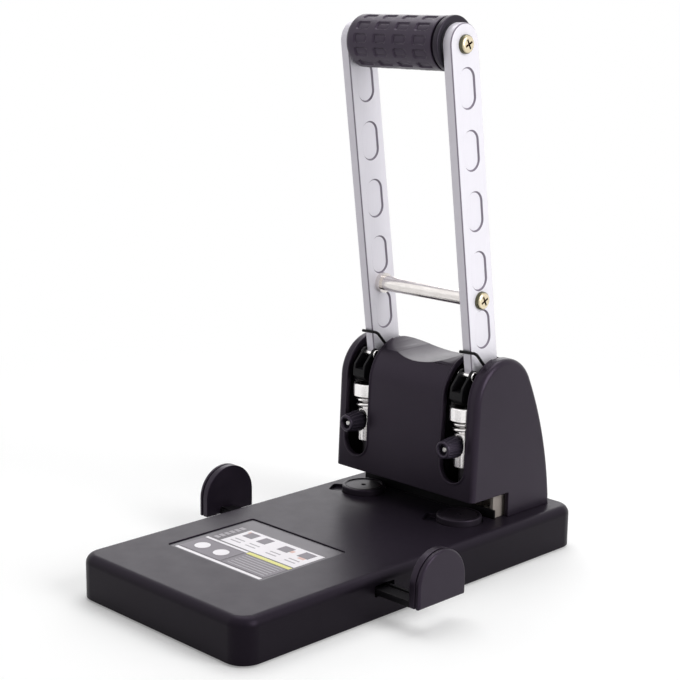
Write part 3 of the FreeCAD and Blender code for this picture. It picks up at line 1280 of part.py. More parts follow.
def pieces():
    made = {
        "base_shell": base_shell(),
        "base_plate": base_plate(),
        "base_screws": base_screws(),
        "rubber_feet": rubber_feet(),
        "label_plate": label_plate(),
        "die_plate": die_plate(),
        "support_pillars": support_pillars(),
        "chip_drawer": chip_drawer(),
        "gauge_tray": gauge_tray(),
        "gauge_cover": gauge_cover(),
        "gauge_screws": gauge_screws(),
        "gauge_pinion": gauge_pinion(),
        "frame_screws": frame_screws(),
        "guide_plate": guide_plate(),
        "paper_stop": paper_stop(),
        "hinge_axle": hinge_axle(),
        "axle_clips": axle_clips(),
        "axle_spacers": axle_spacers(),
        "anchor_pins": anchor_pins(),
        "housing_shell": housing_shell(),
        "housing_screws": housing_screws(),
        "cross_bar": cross_bar(),
        "cross_bar_screws": arm_screws(ARM_LEN - BAR_DOWN),
        "grip_core": grip_core(),
        "grip_sleeve": grip_sleeve(),
        "grip_end_ring": grip_end_ring(),
        "grip_screws": arm_screws(ARM_LEN),
        "cam_pins": cam_pins(),
    }
    paired = {
        "cutting_disc": cutting_disc,
        "gauge_bar": gauge_bar,
        "side_stop": side_stop,
        "punch_frame": punch_frame,
        "guide_bush": guide_bush,
        "handle_arm": handle_arm,
        "press_cam": press_cam,
        "torsion_spring": torsion_spring,
        "press_cap": press_cap,
        "cushion_spring": cushion_spring,
        "drill_chuck": drill_chuck,
        "hollow_drill": hollow_drill,
        "return_spring": return_spring,
        "clamp_screw": clamp_screw,
        "clamp_knob": clamp_knob,
    }
    for name, make in paired.items():
        for side_name, side in SIDES:
            made[f"{name}_{side_name}"] = make(side)
    return made


os.makedirs("parts", exist_ok=True)
for node, shape in pieces().items():
    shape.exportStep(f"parts/{node}.step")
    print(f"{node:24s} solids {len(shape.Solids)} volume {shape.Volume:10.1f} valid {shape.isValid()}")
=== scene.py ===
import bmesh
import bpy
import json
from math import atan2, cos, hypot, pi, radians, sin, tan
from mathutils import Matrix, Vector


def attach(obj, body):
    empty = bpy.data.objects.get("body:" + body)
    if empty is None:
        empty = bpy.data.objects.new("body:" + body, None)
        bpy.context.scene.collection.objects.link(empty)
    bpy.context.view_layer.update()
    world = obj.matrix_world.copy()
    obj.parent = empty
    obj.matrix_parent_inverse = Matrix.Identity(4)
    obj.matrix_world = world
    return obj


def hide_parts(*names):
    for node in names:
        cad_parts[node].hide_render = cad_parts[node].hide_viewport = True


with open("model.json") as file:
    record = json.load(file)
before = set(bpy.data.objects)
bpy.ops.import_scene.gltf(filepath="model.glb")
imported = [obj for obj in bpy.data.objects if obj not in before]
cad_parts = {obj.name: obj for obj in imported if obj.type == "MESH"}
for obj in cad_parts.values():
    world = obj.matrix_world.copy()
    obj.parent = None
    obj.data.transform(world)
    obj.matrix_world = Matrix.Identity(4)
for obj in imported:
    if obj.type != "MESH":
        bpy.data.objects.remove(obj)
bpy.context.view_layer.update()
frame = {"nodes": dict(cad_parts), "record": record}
nodes = frame["nodes"]
mm = 0.001
sides = {"left": -1, "right": 1}
print("frame loaded:", len(nodes), "nodes")


def linkPiece(name, data):
    piece = bpy.data.objects.new(name, data)
    bpy.context.scene.collection.objects.link(piece)
    return piece


# node helpers, for materials and for shapes

def feed(tree, source, target):
    if isinstance(source, (int, float, tuple)):
        target.default_value = source
    else:
        tree.links.new(source, target)


def calculate(tree, operation, first, second=0.0):
    node = tree.nodes.new("ShaderNodeMath")
    node.operation = operation
    feed(tree, first, node.inputs[0])
    feed(tree, second, node.inputs[1])
    return node.outputs[0]


def spread(tree, value, start, end, low=0.0, high=1.0):
    # low where the value is at start, high where it is at end, and held beyond both
    node = tree.nodes.new("ShaderNodeMapRange")
    feed(tree, value, node.inputs["Value"])
    feed(tree, start, node.inputs["From Min"])
    feed(tree, end, node.inputs["From Max"])
    feed(tree, low, node.inputs["To Min"])
    feed(tree, high, node.inputs["To Max"])
    return node.outputs[0]


def split(tree, vector):
    node = tree.nodes.new("ShaderNodeSeparateXYZ")
    tree.links.new(vector, node.inputs[0])
    return node.outputs


def placeOn(tree, kind="Object"):
    return tree.nodes.new("ShaderNodeTexCoord").outputs[kind]


def blendColours(tree, share, first, second):
    node = tree.nodes.new("ShaderNodeMix")
    node.data_type = "RGBA"
    feed(tree, share, node.inputs[0])
    feed(tree, first, node.inputs[6])    # the colour sockets come after the plain and the vector ones
    feed(tree, second, node.inputs[7])
    return node.outputs[2]


# camera and stage

camera = {"place": (0.6193, -0.6188, 0.3319), "target": (-0.0143, 0.0129, 0.1354), "roll": 0.648,
          "lens": 82.47, "sensor": 36, "near": 0.01, "far": 50}


def placeCamera():
    data = bpy.data.cameras.new("viewCamera")
    data.lens = camera["lens"]
    data.sensor_width = camera["sensor"]
    data.clip_start = camera["near"]
    data.clip_end = camera["far"]
    holder = linkPiece("viewCamera", data)
    place = Vector(camera["place"])
    aim = (Vector(camera["target"]) - place).to_track_quat("-Z", "Y").to_matrix().to_4x4()
    roll = Matrix.Rotation(radians(camera["roll"]), 4, "Z")
    holder.matrix_world = Matrix.Translation(place) @ aim @ roll
    bpy.context.scene.camera = holder


lamps = {
    "overheadSoftbox": {"place": (-0.25, 0.35, 1.5), "size": (1.4, 1.0), "power": 12},
    "rightSoftbox": {"place": (1.5, 0.2, 0.8), "size": (0.9, 1.2), "power": 17},
    "leftSoftbox": {"place": (-1.3, -0.9, 0.9), "size": (0.9, 1.2), "power": 1},
    "backSoftbox": {"place": (-1.15, 1.25, 0.8), "size": (1.4, 0.9), "power": 6},
}
lampTarget = (0, 0, 0.1)


def placeLamps():
    for name, lamp in lamps.items():
        data = bpy.data.lights.new(name, "AREA")
        data.shape = "RECTANGLE"
        data.size, data.size_y = lamp["size"]
        data.energy = lamp["power"]
        holder = linkPiece(name, data)
        place = Vector(lamp["place"])
        aim = (Vector(lampTarget) - place).to_track_quat("-Z", "Y")
        holder.matrix_world = Matrix.Translation(place) @ aim.to_matrix().to_4x4()


studio = {"room": 0.34, "backdrop": 1.0, "white": (1, 1, 1, 1), "floorColour": (0.80, 0.80, 0.80, 1),
          "floorRoughness": 0.9, "floorSpecular": 0.1, "floorLift": 0.22, "fadeFrom": 0.30, "fadeTo": 0.62,
          "reach": 6.0}


def seenDirectly(tree):
    # camera, mirror and glass rays all meet the plain backdrop
    path = tree.nodes.new("ShaderNodeLightPath").outputs
    mirrored = calculate(tree, "MAXIMUM", path["Is Camera Ray"], path["Is Glossy Ray"])
    return calculate(tree, "MAXIMUM", mirrored, path["Is Transmission Ray"])


def lightRoom():
    world = bpy.data.worlds.new("whiteRoom")
    bpy.context.scene.world = world
    world.use_nodes = True
    tree = world.node_tree
    background = tree.nodes["Background"]
    background.inputs["Color"].default_value = studio["white"]
    strength = spread(tree, seenDirectly(tree), 0.0, 1.0, studio["room"], studio["backdrop"])
    tree.links.new(strength, background.inputs["Strength"])


def floorPaint():
    paint = bpy.data.materials.new("floorPaint")
    paint.use_nodes = True
    tree = paint.node_tree
    shader = tree.nodes["Principled BSDF"]
    shader.inputs["Base Color"].default_value = studio["floorColour"]
    shader.inputs["Roughness"].default_value = studio["floorRoughness"]
    shader.inputs["Specular IOR Level"].default_value = studio["floorSpecular"]
    shader.inputs["Emission Color"].default_value = studio["white"]
    direct = seenDirectly(tree)
    lift = calculate(tree, "MULTIPLY", direct, studio["floorLift"])
    tree.links.new(lift, shader.inputs["Emission Strength"])
    # away from the object the floor runs into the white backdrop
    distance = tree.nodes.new("ShaderNodeVectorMath")
    distance.operation = "LENGTH"
    tree.links.new(placeOn(tree), distance.inputs[0])
    fade = spread(tree, distance.outputs["Value"], studio["fadeFrom"], studio["fadeTo"])
    fade.node.interpolation_type = "SMOOTHSTEP"
    backdrop = tree.nodes.new("ShaderNodeEmission")
    backdrop.inputs["Strength"].default_value = studio["backdrop"]
    join = tree.nodes.new("ShaderNodeMixShader")
    tree.links.new(calculate(tree, "MULTIPLY", fade, direct), join.inputs[0])
    tree.links.new(shader.outputs[0], join.inputs[1])
    tree.links.new(backdrop.outputs[0], join.inputs[2])
    tree.links.new(join.outputs[0], tree.nodes["Material Output"].inputs["Surface"])
    return paint


def layFloor():
    mesh = bpy.data.meshes.new("studioFloor")
    reach = studio["reach"]
    corners = [(-reach, -reach, 0), (reach, -reach, 0), (reach, reach, 0), (-reach, reach, 0)]
    mesh.from_pydata(corners, [], [(0, 1, 2, 3)])
    mesh.materials.append(floorPaint())
    floor = linkPiece("studioFloor", mesh)


placeCamera()
placeLamps()
lightRoom()
layFloor()
bpy.context.scene.view_settings.view_transform = "Standard"
print("camera and stage ready")


# shared effects

def cloud(tree, scale, detail, roughness, place=None):
    node = tree.nodes.new("ShaderNodeTexNoise")
    node.inputs["Detail"].default_value = detail
    node.inputs["Roughness"].default_value = roughness
    feed(tree, scale, node.inputs["Scale"])
    tree.links.new(place or placeOn(tree), node.inputs["Vector"])
    return node.outputs["Fac"]


def pebbles(tree, scale, feature):
    node = tree.nodes.new("ShaderNodeTexVoronoi")
    node.feature = feature
    feed(tree, scale, node.inputs["Scale"])
    tree.links.new(placeOn(tree), node.inputs["Vector"])
    return node.outputs["Distance"]


def swing(tree, middle, noise, amount):
    # the noise lifts or lowers the middle by up to half the amount
    around = calculate(tree, "SUBTRACT", noise, 0.5)
    return calculate(tree, "ADD", middle, calculate(tree, "MULTIPLY", around, amount))


def effectGroup(name, inputs):
    tree = bpy.data.node_groups.new(name, "ShaderNodeTree")
    for label, kind, value in inputs:
        socket = tree.interface.new_socket(name=label, in_out="INPUT", socket_type="NodeSocket" + kind)
        socket.default_value = value
    for label, kind in (("Color", "Color"), ("Roughness", "Float"), ("Height", "Float")):
        tree.interface.new_socket(name=label, in_out="OUTPUT", socket_type="NodeSocket" + kind)
    return tree, tree.nodes.new("NodeGroupInput").outputs


def effectDone(tree, colour, roughness, height):
    result = tree.nodes.new("NodeGroupOutput").inputs
    tree.links.new(colour, result["Color"])
    tree.links.new(roughness, result["Roughness"])
    tree.links.new(height, result["Height"])
    return tree


mouldedGrain = {"broadScale": 22.0, "patchScale": 90.0, "sheenFrom": 0.35, "sheenTo": 0.7, "swingShare": 2.0,
                "fineShare": 0.6, "pebbleShare": 0.5}


def makeMouldedGrain():
    tree, given = effectGroup("mouldedGrain", [
        ("Tone", "Color", (0.02, 0.02, 0.02, 1)), ("Sheen Tone", "Color", (0.03, 0.03, 0.03, 1)),
        ("Grains per Metre", "Float", 3000.0), ("Roughness", "Float", 0.45), ("Unevenness", "Float", 0.08)])
    fine = cloud(tree, given["Grains per Metre"], detail=2.0, roughness=0.55)
    pebble = pebbles(tree, given["Grains per Metre"], "SMOOTH_F1")
    broad = cloud(tree, mouldedGrain["broadScale"], detail=3.0, roughness=0.6)
    patch = cloud(tree, mouldedGrain["patchScale"], detail=4.0, roughness=0.6)
    sheen = spread(tree, broad, mouldedGrain["sheenFrom"], mouldedGrain["sheenTo"])
    uneven = calculate(tree, "MULTIPLY", given["Unevenness"], mouldedGrain["swingShare"])
    height = calculate(tree, "ADD", calculate(tree, "MULTIPLY", fine, mouldedGrain["fineShare"]),
                       calculate(tree, "MULTIPLY", pebble, mouldedGrain["pebbleShare"]))
    return effectDone(tree, blendColours(tree, sheen, given["Tone"], given["Sheen Tone"]),
                      swing(tree, given["Roughness"], patch, uneven), height)


drawnMetal = {"streakScale": 900.0, "streakShare": 0.6, "broadScale": 60.0, "broadShare": 0.4,
              "shadeFrom": 0.3, "shadeTo": 0.7}


def makeDrawnMetal():
    tree, given = effectGroup("drawnMetal", [
        ("Tone", "Color", (0.7, 0.7, 0.7, 1)), ("Shade Tone", "Color", (0.5, 0.5, 0.5, 1)),
        ("Roughness", "Float", 0.3), ("Streaks", "Float", 0.1), ("Across", "Vector", (1.0, 1.0, 1.0))])
    stretch = tree.nodes.new("ShaderNodeVectorMath")
    stretch.operation = "MULTIPLY"
    tree.links.new(placeOn(tree), stretch.inputs[0])
    tree.links.new(given["Across"], stretch.inputs[1])
    streak = cloud(tree, drawnMetal["streakScale"], 3.0, 0.6, stretch.outputs["Vector"])
    broad = cloud(tree, drawnMetal["broadScale"], 3.0, 0.6)
    start, end = drawnMetal["shadeFrom"], drawnMetal["shadeTo"]
    shade = calculate(tree, "ADD", spread(tree, streak, start, end, high=drawnMetal["streakShare"]),
                      spread(tree, broad, start, end, high=drawnMetal["broadShare"]))
    return effectDone(tree, blendColours(tree, shade, given["Tone"], given["Shade Tone"]),
                      swing(tree, given["Roughness"], streak, given["Streaks"]), streak)


zincBloom = {"bloomFrom": 0.35, "bloomTo": 0.65, "roughSwing": 0.25, "spotsPerPatch": 6.0}


def makeZincBloom():
    tree, given = effectGroup("zincBloom", [
        ("Tone", "Color", (0.6, 0.6, 0.6, 1)), ("Bloom Tone", "Color", (0.7, 0.6, 0.4, 1)),
        ("Patches per Metre", "Float", 260.0), ("Roughness", "Float", 0.35)])
    bloom = cloud(tree, given["Patches per Metre"], detail=4.0, roughness=0.65)
    spots = calculate(tree, "MULTIPLY", given["Patches per Metre"], zincBloom["spotsPerPatch"])
    share = spread(tree, bloom, zincBloom["bloomFrom"], zincBloom["bloomTo"])
    return effectDone(tree, blendColours(tree, share, given["Tone"], given["Bloom Tone"]),
                      swing(tree, given["Roughness"], bloom, zincBloom["roughSwing"]),
                      pebbles(tree, spots, "F1"))


effects = {"grain": makeMouldedGrain(), "drawn": makeDrawnMetal(), "bloom": makeZincBloom()}
reliefDeep = {"grain": 0.05, "drawn": 0.03, "bloom": 0.03}   # millimetres


# finishes

def finish(name, effect, settings, bump, shaderValues):
    # one shared effect feeds colour, roughness and bump; even values sit on the shader itself
    material = bpy.data.materials.new(name)
    material.use_nodes = True
    tree = material.node_tree
    shader = tree.nodes["Principled BSDF"]
    group = tree.nodes.new("ShaderNodeGroup")
    group.node_tree = effects[effect]
    for label, value in settings.items():
        group.inputs[label].default_value = value
    for label, value in shaderValues.items():
        shader.inputs[label].default_value = value
    tree.links.new(group.outputs["Color"], shader.inputs["Base Color"])
    tree.links.new(group.outputs["Roughness"], shader.inputs["Roughness"])
    relief = tree.nodes.new("ShaderNodeBump")
    relief.inputs["Strength"].default_value = bump
    relief.inputs["Distance"].default_value = reliefDeep[effect] * mm
    tree.links.new(group.outputs["Height"], relief.inputs["Height"])
    tree.links.new(relief.outputs["Normal"], shader.inputs["Normal"])
    return material


plasticTint = (1.0, 0.80, 1.12, 1)   # the faint violet of the black mouldings


def plastic(name, tone, sheenTone, roughness, grains=3200.0, bump=0.35, specular=0.3, unevenness=0.06):
    return finish(name, "grain",
                  {"Tone": tone + (1,), "Sheen Tone": sheenTone + (1,), "Grains per Metre": grains,
                   "Roughness": roughness, "Unevenness": unevenness},
                  bump, {"Specular IOR Level": specular, "Specular Tint": plasticTint})


def metal(name, tone, shadeTone, roughness, streaks=0.12, across=(1.0, 1.0, 1.0), metallic=1.0, bump=0.08,
          specular=0.5):
    return finish(name, "drawn",
                  {"Tone": tone + (1,), "Shade Tone": shadeTone + (1,), "Roughness": roughness,
                   "Streaks": streaks, "Across": across},
                  bump, {"Metallic": metallic, "Specular IOR Level": specular})


def zinc(name, tone, bloomTone, roughness, patches=260.0, bump=0.06):
    return finish(name, "bloom",
                  {"Tone": tone + (1,), "Bloom Tone": bloomTone + (1,), "Roughness": roughness,
                   "Patches per Metre": patches},
                  bump, {"Metallic": 1.0})


materials = {
    "shell_plastic": plastic("satinBlackShell", (0.0095, 0.0070, 0.0112), (0.0135, 0.0102, 0.0158),
                             roughness=0.34, specular=0.26),
    "disc_plastic": plastic("blackDiscPlastic", (0.012, 0.0095, 0.0135), (0.017, 0.0140, 0.0190),
                            roughness=0.40, grains=4200.0, bump=0.3, specular=0.20),
    "knob_plastic": plastic("ribbedKnobPlastic", (0.016, 0.0135, 0.020), (0.024, 0.0205, 0.030),
                            roughness=0.32, grains=4200.0, bump=0.2, specular=0.36),
    "label_card": plastic("labelCard", (0.016, 0.015, 0.017), (0.022, 0.021, 0.023),
                          roughness=0.30, grains=5200.0, bump=0.1),
    "grip_rubber": plastic("gripRubber", (0.014, 0.0105, 0.017), (0.026, 0.0205, 0.030),
                           roughness=0.36, grains=2600.0, bump=0.45, specular=0.42, unevenness=0.10),
    "ring_plastic": plastic("gripRingPlastic", (0.010, 0.010, 0.012), (0.014, 0.014, 0.016),
                            roughness=0.34, grains=4200.0, bump=0.2),
    "foot_rubber": plastic("footRubber", (0.018, 0.018, 0.019), (0.026, 0.026, 0.027),
                           roughness=0.70, grains=2200.0, bump=0.5, specular=0.25),
    "inner_plastic": plastic("innerGreyPlastic", (0.055, 0.055, 0.06), (0.075, 0.075, 0.08),
                             roughness=0.50, grains=3000.0, bump=0.4),
    "nickel": metal("satinNickel", (0.95, 0.93, 0.93), (0.84, 0.81, 0.80),
                    roughness=0.24, streaks=0.15, across=(0.3, 0.3, 3.0)),
    "bar_steel": metal("polishedBarSteel", (0.80, 0.77, 0.75), (0.66, 0.62, 0.60),
                       roughness=0.20, streaks=0.16, across=(0.15, 1.0, 1.0)),
    "black_steel": metal("blackOxideSteel", (0.0050, 0.0045, 0.0055), (0.0090, 0.0082, 0.0098),
                         roughness=0.36, streaks=0.15, across=(1.0, 1.0, 0.3), metallic=0.1, specular=0.16),
    "black_wire": metal("blackSpringWire", (0.004, 0.004, 0.005), (0.008, 0.007, 0.008),
                        roughness=0.36, metallic=0.1, specular=0.12),
    "bright_wire": metal("brightSpringWire", (0.70, 0.69, 0.68), (0.55, 0.54, 0.52), roughness=0.24),
    "screw_steel": zinc("zincScrewSteel", (0.55, 0.55, 0.56), (0.62, 0.60, 0.55), roughness=0.32),
    "dull_zinc": zinc("dullZincPlate", (0.34, 0.26, 0.21), (0.42, 0.35, 0.30), roughness=0.42),
}

record = frame["record"]
slotOf = {entry["node"]: entry["material_slot"] for entry in record["subparts"]}
bodyOf = {node: body for body, members in record["behaviour"]["bodies"].items() for node in members}


# finishes whose tone changes over a piece

def colourOf(material):
    # the node tree, the socket of the base colour and what feeds it so far
    tree = material.node_tree
    socket = tree.nodes["Principled BSDF"].inputs["Base Color"]
    return tree, socket, socket.links[0].from_socket


def toneByHeight(material, tone, start, end):
    # heights in millimetres above the table: as it was up to start, the tone from end on
    tree, socket, plain = colourOf(material)
    share = spread(tree, split(tree, placeOn(tree))["Z"], start * mm, end * mm)
    tree.links.new(blendColours(tree, share, plain, tone + (1,)), socket)
    return material


def facingSideways(tree):
    # 1 on the broad faces to the left and right, 0 on the edges
    return calculate(tree, "ABSOLUTE", split(tree, placeOn(tree, "Normal"))["X"])


# the flank tones are a darker black than the housing's, painted shade; the paler top tone above 22.5 mm is a
# painted sheen
baseSkin = {"flank": (0.0030, 0.0023, 0.0036), "flankSheen": (0.0044, 0.0034, 0.0052),
            "top": (0.0145, 0.0112, 0.0172), "topFrom": 22.5, "topTo": 26.2, "roughness": 0.36, "specular": 0.11}


def makeBaseSkin():
    # the top is painted a paler tone than the flanks, a painted sheen, and the flanks are a darker black than
    # the housing, painted shade
    material = plastic("blackBaseWithPaintedShadeAndSheen", baseSkin["flank"], baseSkin["flankSheen"], baseSkin["roughness"],
                       specular=baseSkin["specular"])
    return toneByHeight(material, baseSkin["top"], baseSkin["topFrom"], baseSkin["topTo"])


frameSkin = {"oxide": (0.0050, 0.0045, 0.0055), "oxideShade": (0.0090, 0.0082, 0.0098),
             "bare": (0.32, 0.285, 0.26), "lowBrownBelow": 41.0, "oxideAbove": 43.0, "roughness": 0.36,
             "streaks": 0.15, "across": (1.0, 1.0, 0.3), "metallic": 0.1, "specular": 0.16}


def makeFrameSkin():
    # black oxide above 43 mm, turning to a paler brown steel tone below 41 mm
    material = metal("twoToneFrameSteel", frameSkin["oxide"], frameSkin["oxideShade"], frameSkin["roughness"],
                     frameSkin["streaks"], frameSkin["across"], frameSkin["metallic"],
                     specular=frameSkin["specular"])
    return toneByHeight(material, frameSkin["bare"], frameSkin["oxideAbove"], frameSkin["lowBrownBelow"])


# the edge tone is painted shade on the narrow faces; the bend tone is a painted dark reflection along the turn
# between faces
armSkin = {"side": (0.84, 0.82, 0.88), "sideShade": (0.80, 0.78, 0.84), "edge": (0.78, 0.75, 0.82),
           "bend": (0.20, 0.175, 0.22), "roughness": 0.34, "streaks": 0.06, "across": (1.0, 1.0, 0.04),
           "metallic": 0.15, "bump": 0.05, "flatFrom": 0.45, "flatTo": 0.85, "bendAt": 0.64,
           "paintedBendLineCore": 0.112, "paintedBendLineReach": 0.32}


def makeArmSkin():
    # broad faces keep the bright silver paint, narrow ones are painted duller as shade, and a dark line is
    # painted where the faces turn, a painted reflection of the bend
    material = metal("silverArmPaintWithPaintedShade", armSkin["side"], armSkin["sideShade"], armSkin["roughness"],
                     armSkin["streaks"], armSkin["across"], armSkin["metallic"], armSkin["bump"])
    tree, socket, side = colourOf(material)
    flat = facingSideways(tree)
    share = spread(tree, flat, armSkin["flatFrom"], armSkin["flatTo"])
    # narrow faces take the darker edge tone: painted shade
    faces = blendColours(tree, share, armSkin["edge"] + (1,), side)
    offPaintedBendLine = calculate(tree, "ABSOLUTE", calculate(tree, "SUBTRACT", flat, armSkin["bendAt"]))
    bend = spread(tree, offPaintedBendLine, armSkin["paintedBendLineCore"], armSkin["paintedBendLineReach"], low=1.0, high=0.0)
    # the dark line where the faces turn is a painted reflection
    tree.links.new(blendColours(tree, bend, faces, armSkin["bend"] + (1,)), socket)
    return material


# the rim tone is a painted dark reflection on the sides of the head; the recess tone is a darker brown, partly
# painted shade
screwSkin = {"face": (0.80, 0.70, 0.50), "rim": (0.11, 0.105, 0.065), "recess": (0.30, 0.12, 0.03),
             "roughness": 0.26, "patches": 420.0, "faceFrom": 0.50, "faceTo": 0.93, "recessBelow": 45.2,
             "crownAbove": 45.5}


def makeScrewSkin():
    # the plating is pale on the crown; the sides of the head are painted a greenish dark, a painted reflection,
    # and the recess a darker brown, the plating's colour with painted shade
    material = zinc("goldZincScrewsWithPaintedShade", screwSkin["face"], screwSkin["face"], screwSkin["roughness"],
                    screwSkin["patches"])
    tree, socket, crown = colourOf(material)
    offMiddle = calculate(tree, "ABSOLUTE", split(tree, placeOn(tree))["X"])
    raised = spread(tree, offMiddle, screwSkin["recessBelow"] * mm, screwSkin["crownAbove"] * mm)
    # the recess is painted a darker brown: the plating's colour, darkened as painted shade
    face = blendColours(tree, raised, screwSkin["recess"] + (1,), crown)
    # the sides of the head take the dark rim tone, a painted reflection
    share = spread(tree, facingSideways(tree), screwSkin["faceFrom"], screwSkin["faceTo"])
    tree.links.new(blendColours(tree, share, screwSkin["rim"] + (1,), face), socket)
    return material


materials["arm_paint"] = makeArmSkin()
materials["gold_zinc"] = makeScrewSkin()
ownSkins = {"base_shell": makeBaseSkin(),
            "guide_plate": zinc("rubbedGuidePlate", (0.30, 0.23, 0.19), (0.40, 0.33, 0.28), roughness=0.36)}
frameSteel = makeFrameSkin()
# the hollow drills are given a near-black steel tone
drillSteel = metal("nearBlackDrillSteel", (0.030, 0.027, 0.032), (0.050, 0.046, 0.052), roughness=0.34,
                   across=(1.0, 1.0, 0.3), metallic=0.4, specular=0.2)
for side in sides:
    ownSkins["punch_frame_" + side] = frameSteel
    ownSkins["hollow_drill_" + side] = drillSteel


def skinOf(nodeName):
    return ownSkins.get(nodeName) or materials[slotOf[nodeName]]


for name, node in nodes.items():
    for slot in node.material_slots:
        slot.material = skinOf(name)
print("materials ready:", len(materials) + len(ownSkins))


# mesh helpers

def finishedMesh(piece):
    # plain mesh of the evaluated object; its modifiers go
    bpy.context.view_layer.update()
    evaluated = piece.evaluated_get(bpy.context.evaluated_depsgraph_get())
    mesh = bpy.data.meshes.new_from_object(evaluated)
    piece.modifiers.clear()
    piece.data = mesh


def addModifier(piece, kind, values):
    modifier = piece.modifiers.new(kind.lower(), kind)
    for label, value in values.items():
        setattr(modifier, label, value)


def addRings(bm, profile, segments, placeAt, gap=None):
    # a ring for each (along, out) point, closed on itself; one stretch may stay open
    rings = [[bm.verts.new(placeAt(along, out, 2 * pi * n / segments)) for n in range(segments)]
             for along, out in profile]
    for k, first in enumerate(rings):
        second = rings[(k + 1) % len(rings)]
        for n in range(segments):
            m = (n + 1) % segments
            if k != gap:
                bm.faces.new((first[n], first[m], second[m], second[n]))


def pieceFrom(bm, name, sharpest):
    bmesh.ops.recalc_face_normals(bm, faces=bm.faces)
    mesh = bpy.data.meshes.new(name)
    bm.to_mesh(mesh)
    bm.free()
    mesh.polygons.foreach_set("use_smooth", [True] * len(mesh.polygons))
    mesh.set_sharp_from_angle(angle=radians(sharpest))
    return linkPiece(name, mesh)


def stand(piece, nodeName):
    # the piece takes the node's place, body and slot
    if not piece.data.materials:
        piece.data.materials.append(skinOf(nodeName))
    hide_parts(nodeName)
    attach(piece, bodyOf[nodeName])


# geometry node helpers

def shapeTree(name, inputs):
    tree = bpy.data.node_groups.new(name, "GeometryNodeTree")
    tree.interface.new_socket(name="Geometry", in_out="INPUT", socket_type="NodeSocketGeometry")
    tree.interface.new_socket(name="Geometry", in_out="OUTPUT", socket_type="NodeSocketGeometry")
    for label, kind, value in inputs:
        socket = tree.interface.new_socket(name=label, in_out="INPUT", socket_type="NodeSocket" + kind)
        if value is not None:
            socket.default_value = value
    return tree, tree.nodes.new("NodeGroupInput").outputs


def step(tree, kind, result, sources):
    # a node of the kind with its sources; gives back the socket named as result
    node = tree.nodes.new(kind)
    for label, source in sources.items():
        feed(tree, source, node.inputs[label])
    return node.outputs[result]


def shapeDone(tree, geometry, material):
    # the tree ends with real meshes that carry the material
    coat = step(tree, "GeometryNodeSetMaterial", "Geometry", {"Geometry": geometry, "Material": material})
    tree.links.new(coat, tree.nodes.new("NodeGroupOutput").inputs["Geometry"])
    return tree


def runTree(piece, tree, values):
    modifier = piece.modifiers.new(tree.name, "NODES")
    modifier.node_group = tree
    byLabel = {item.name: item.identifier for item in tree.interface.items_tree
               if item.item_type == "SOCKET" and item.in_out == "INPUT"}
    for label, value in values.items():
        modifier[byLabel[label]] = value
    finishedMesh(piece)


# grip sleeve: a sunk cell repeated round and along the sleeve

handle = {"pivot": (0, 79.45, 103.0), "lean": 7.92, "armLength": 206.5}
leanTurn = Matrix.Rotation(radians(handle["lean"]), 3, "X")

grip = {"radius": 15.5, "left": -36.4, "right": 33.0, "bore": 12.05, "boreEdge": 0.3, "rows": 12, "columns": 4,
        "cellsFrom": -31.6, "cellPitch": 15.3, "cellWide": 9.6, "cellHigh": 5.0, "cellRound": 1.5,
        "cellDeep": 0.95, "wall": 0.75, "crown": 0.25, "crownReach": 2.2, "tileAlong": 38, "tileAround": 20,
        "endRound": 3.4, "roundSteps": 8, "neck": 2.0, "neckDeep": 1.5, "lip": 0.35, "cellWeld": 0.01,
        "weld": 0.02, "sharpest": 40}
pitchAround = 2 * pi * grip["radius"] / grip["rows"]


def handlePlace(point):
    # from the grip's own frame in millimetres, with the arm upright, to its place at rest
    return Vector(handle["pivot"]) * mm + leanTurn @ (point * mm + Vector((0, 0, handle["armLength"] * mm)))


def smoothStep(value):
    value = min(1.0, max(0.0, value))
    return value * value * (3 - 2 * value)


def cellDepth(x, y):
    # depth below the sleeve's surface at a place inside one tile
    dx = max(abs(x) - (grip["cellWide"] / 2 - grip["cellRound"]), 0.0)
    dy = max(abs(y) - (grip["cellHigh"] / 2 - grip["cellRound"]), 0.0)
    outside = hypot(dx, dy) - grip["cellRound"]
    sunk = smoothStep(-outside / grip["wall"] + 0.5)
    return grip["cellDeep"] * sunk - grip["crown"] * smoothStep(-outside / grip["crownReach"])


def makeCellTile():
    bm = bmesh.new()
    rows = []
    for i in range(grip["tileAlong"] + 1):
        x = grip["cellPitch"] * (i / grip["tileAlong"] - 0.5)
        acrossTile = [pitchAround * (j / grip["tileAround"] - 0.5) for j in range(grip["tileAround"] + 1)]
        rows.append([bm.verts.new((x, y, -cellDepth(x, y))) for y in acrossTile])
    for first, second in zip(rows, rows[1:]):
        for j in range(grip["tileAround"]):
            bm.faces.new((first[j], second[j], second[j + 1], first[j + 1]))
    mesh = bpy.data.meshes.new("gripCellTile")
    bm.to_mesh(mesh)
    bm.free()
    return linkPiece("gripCellTile", mesh)


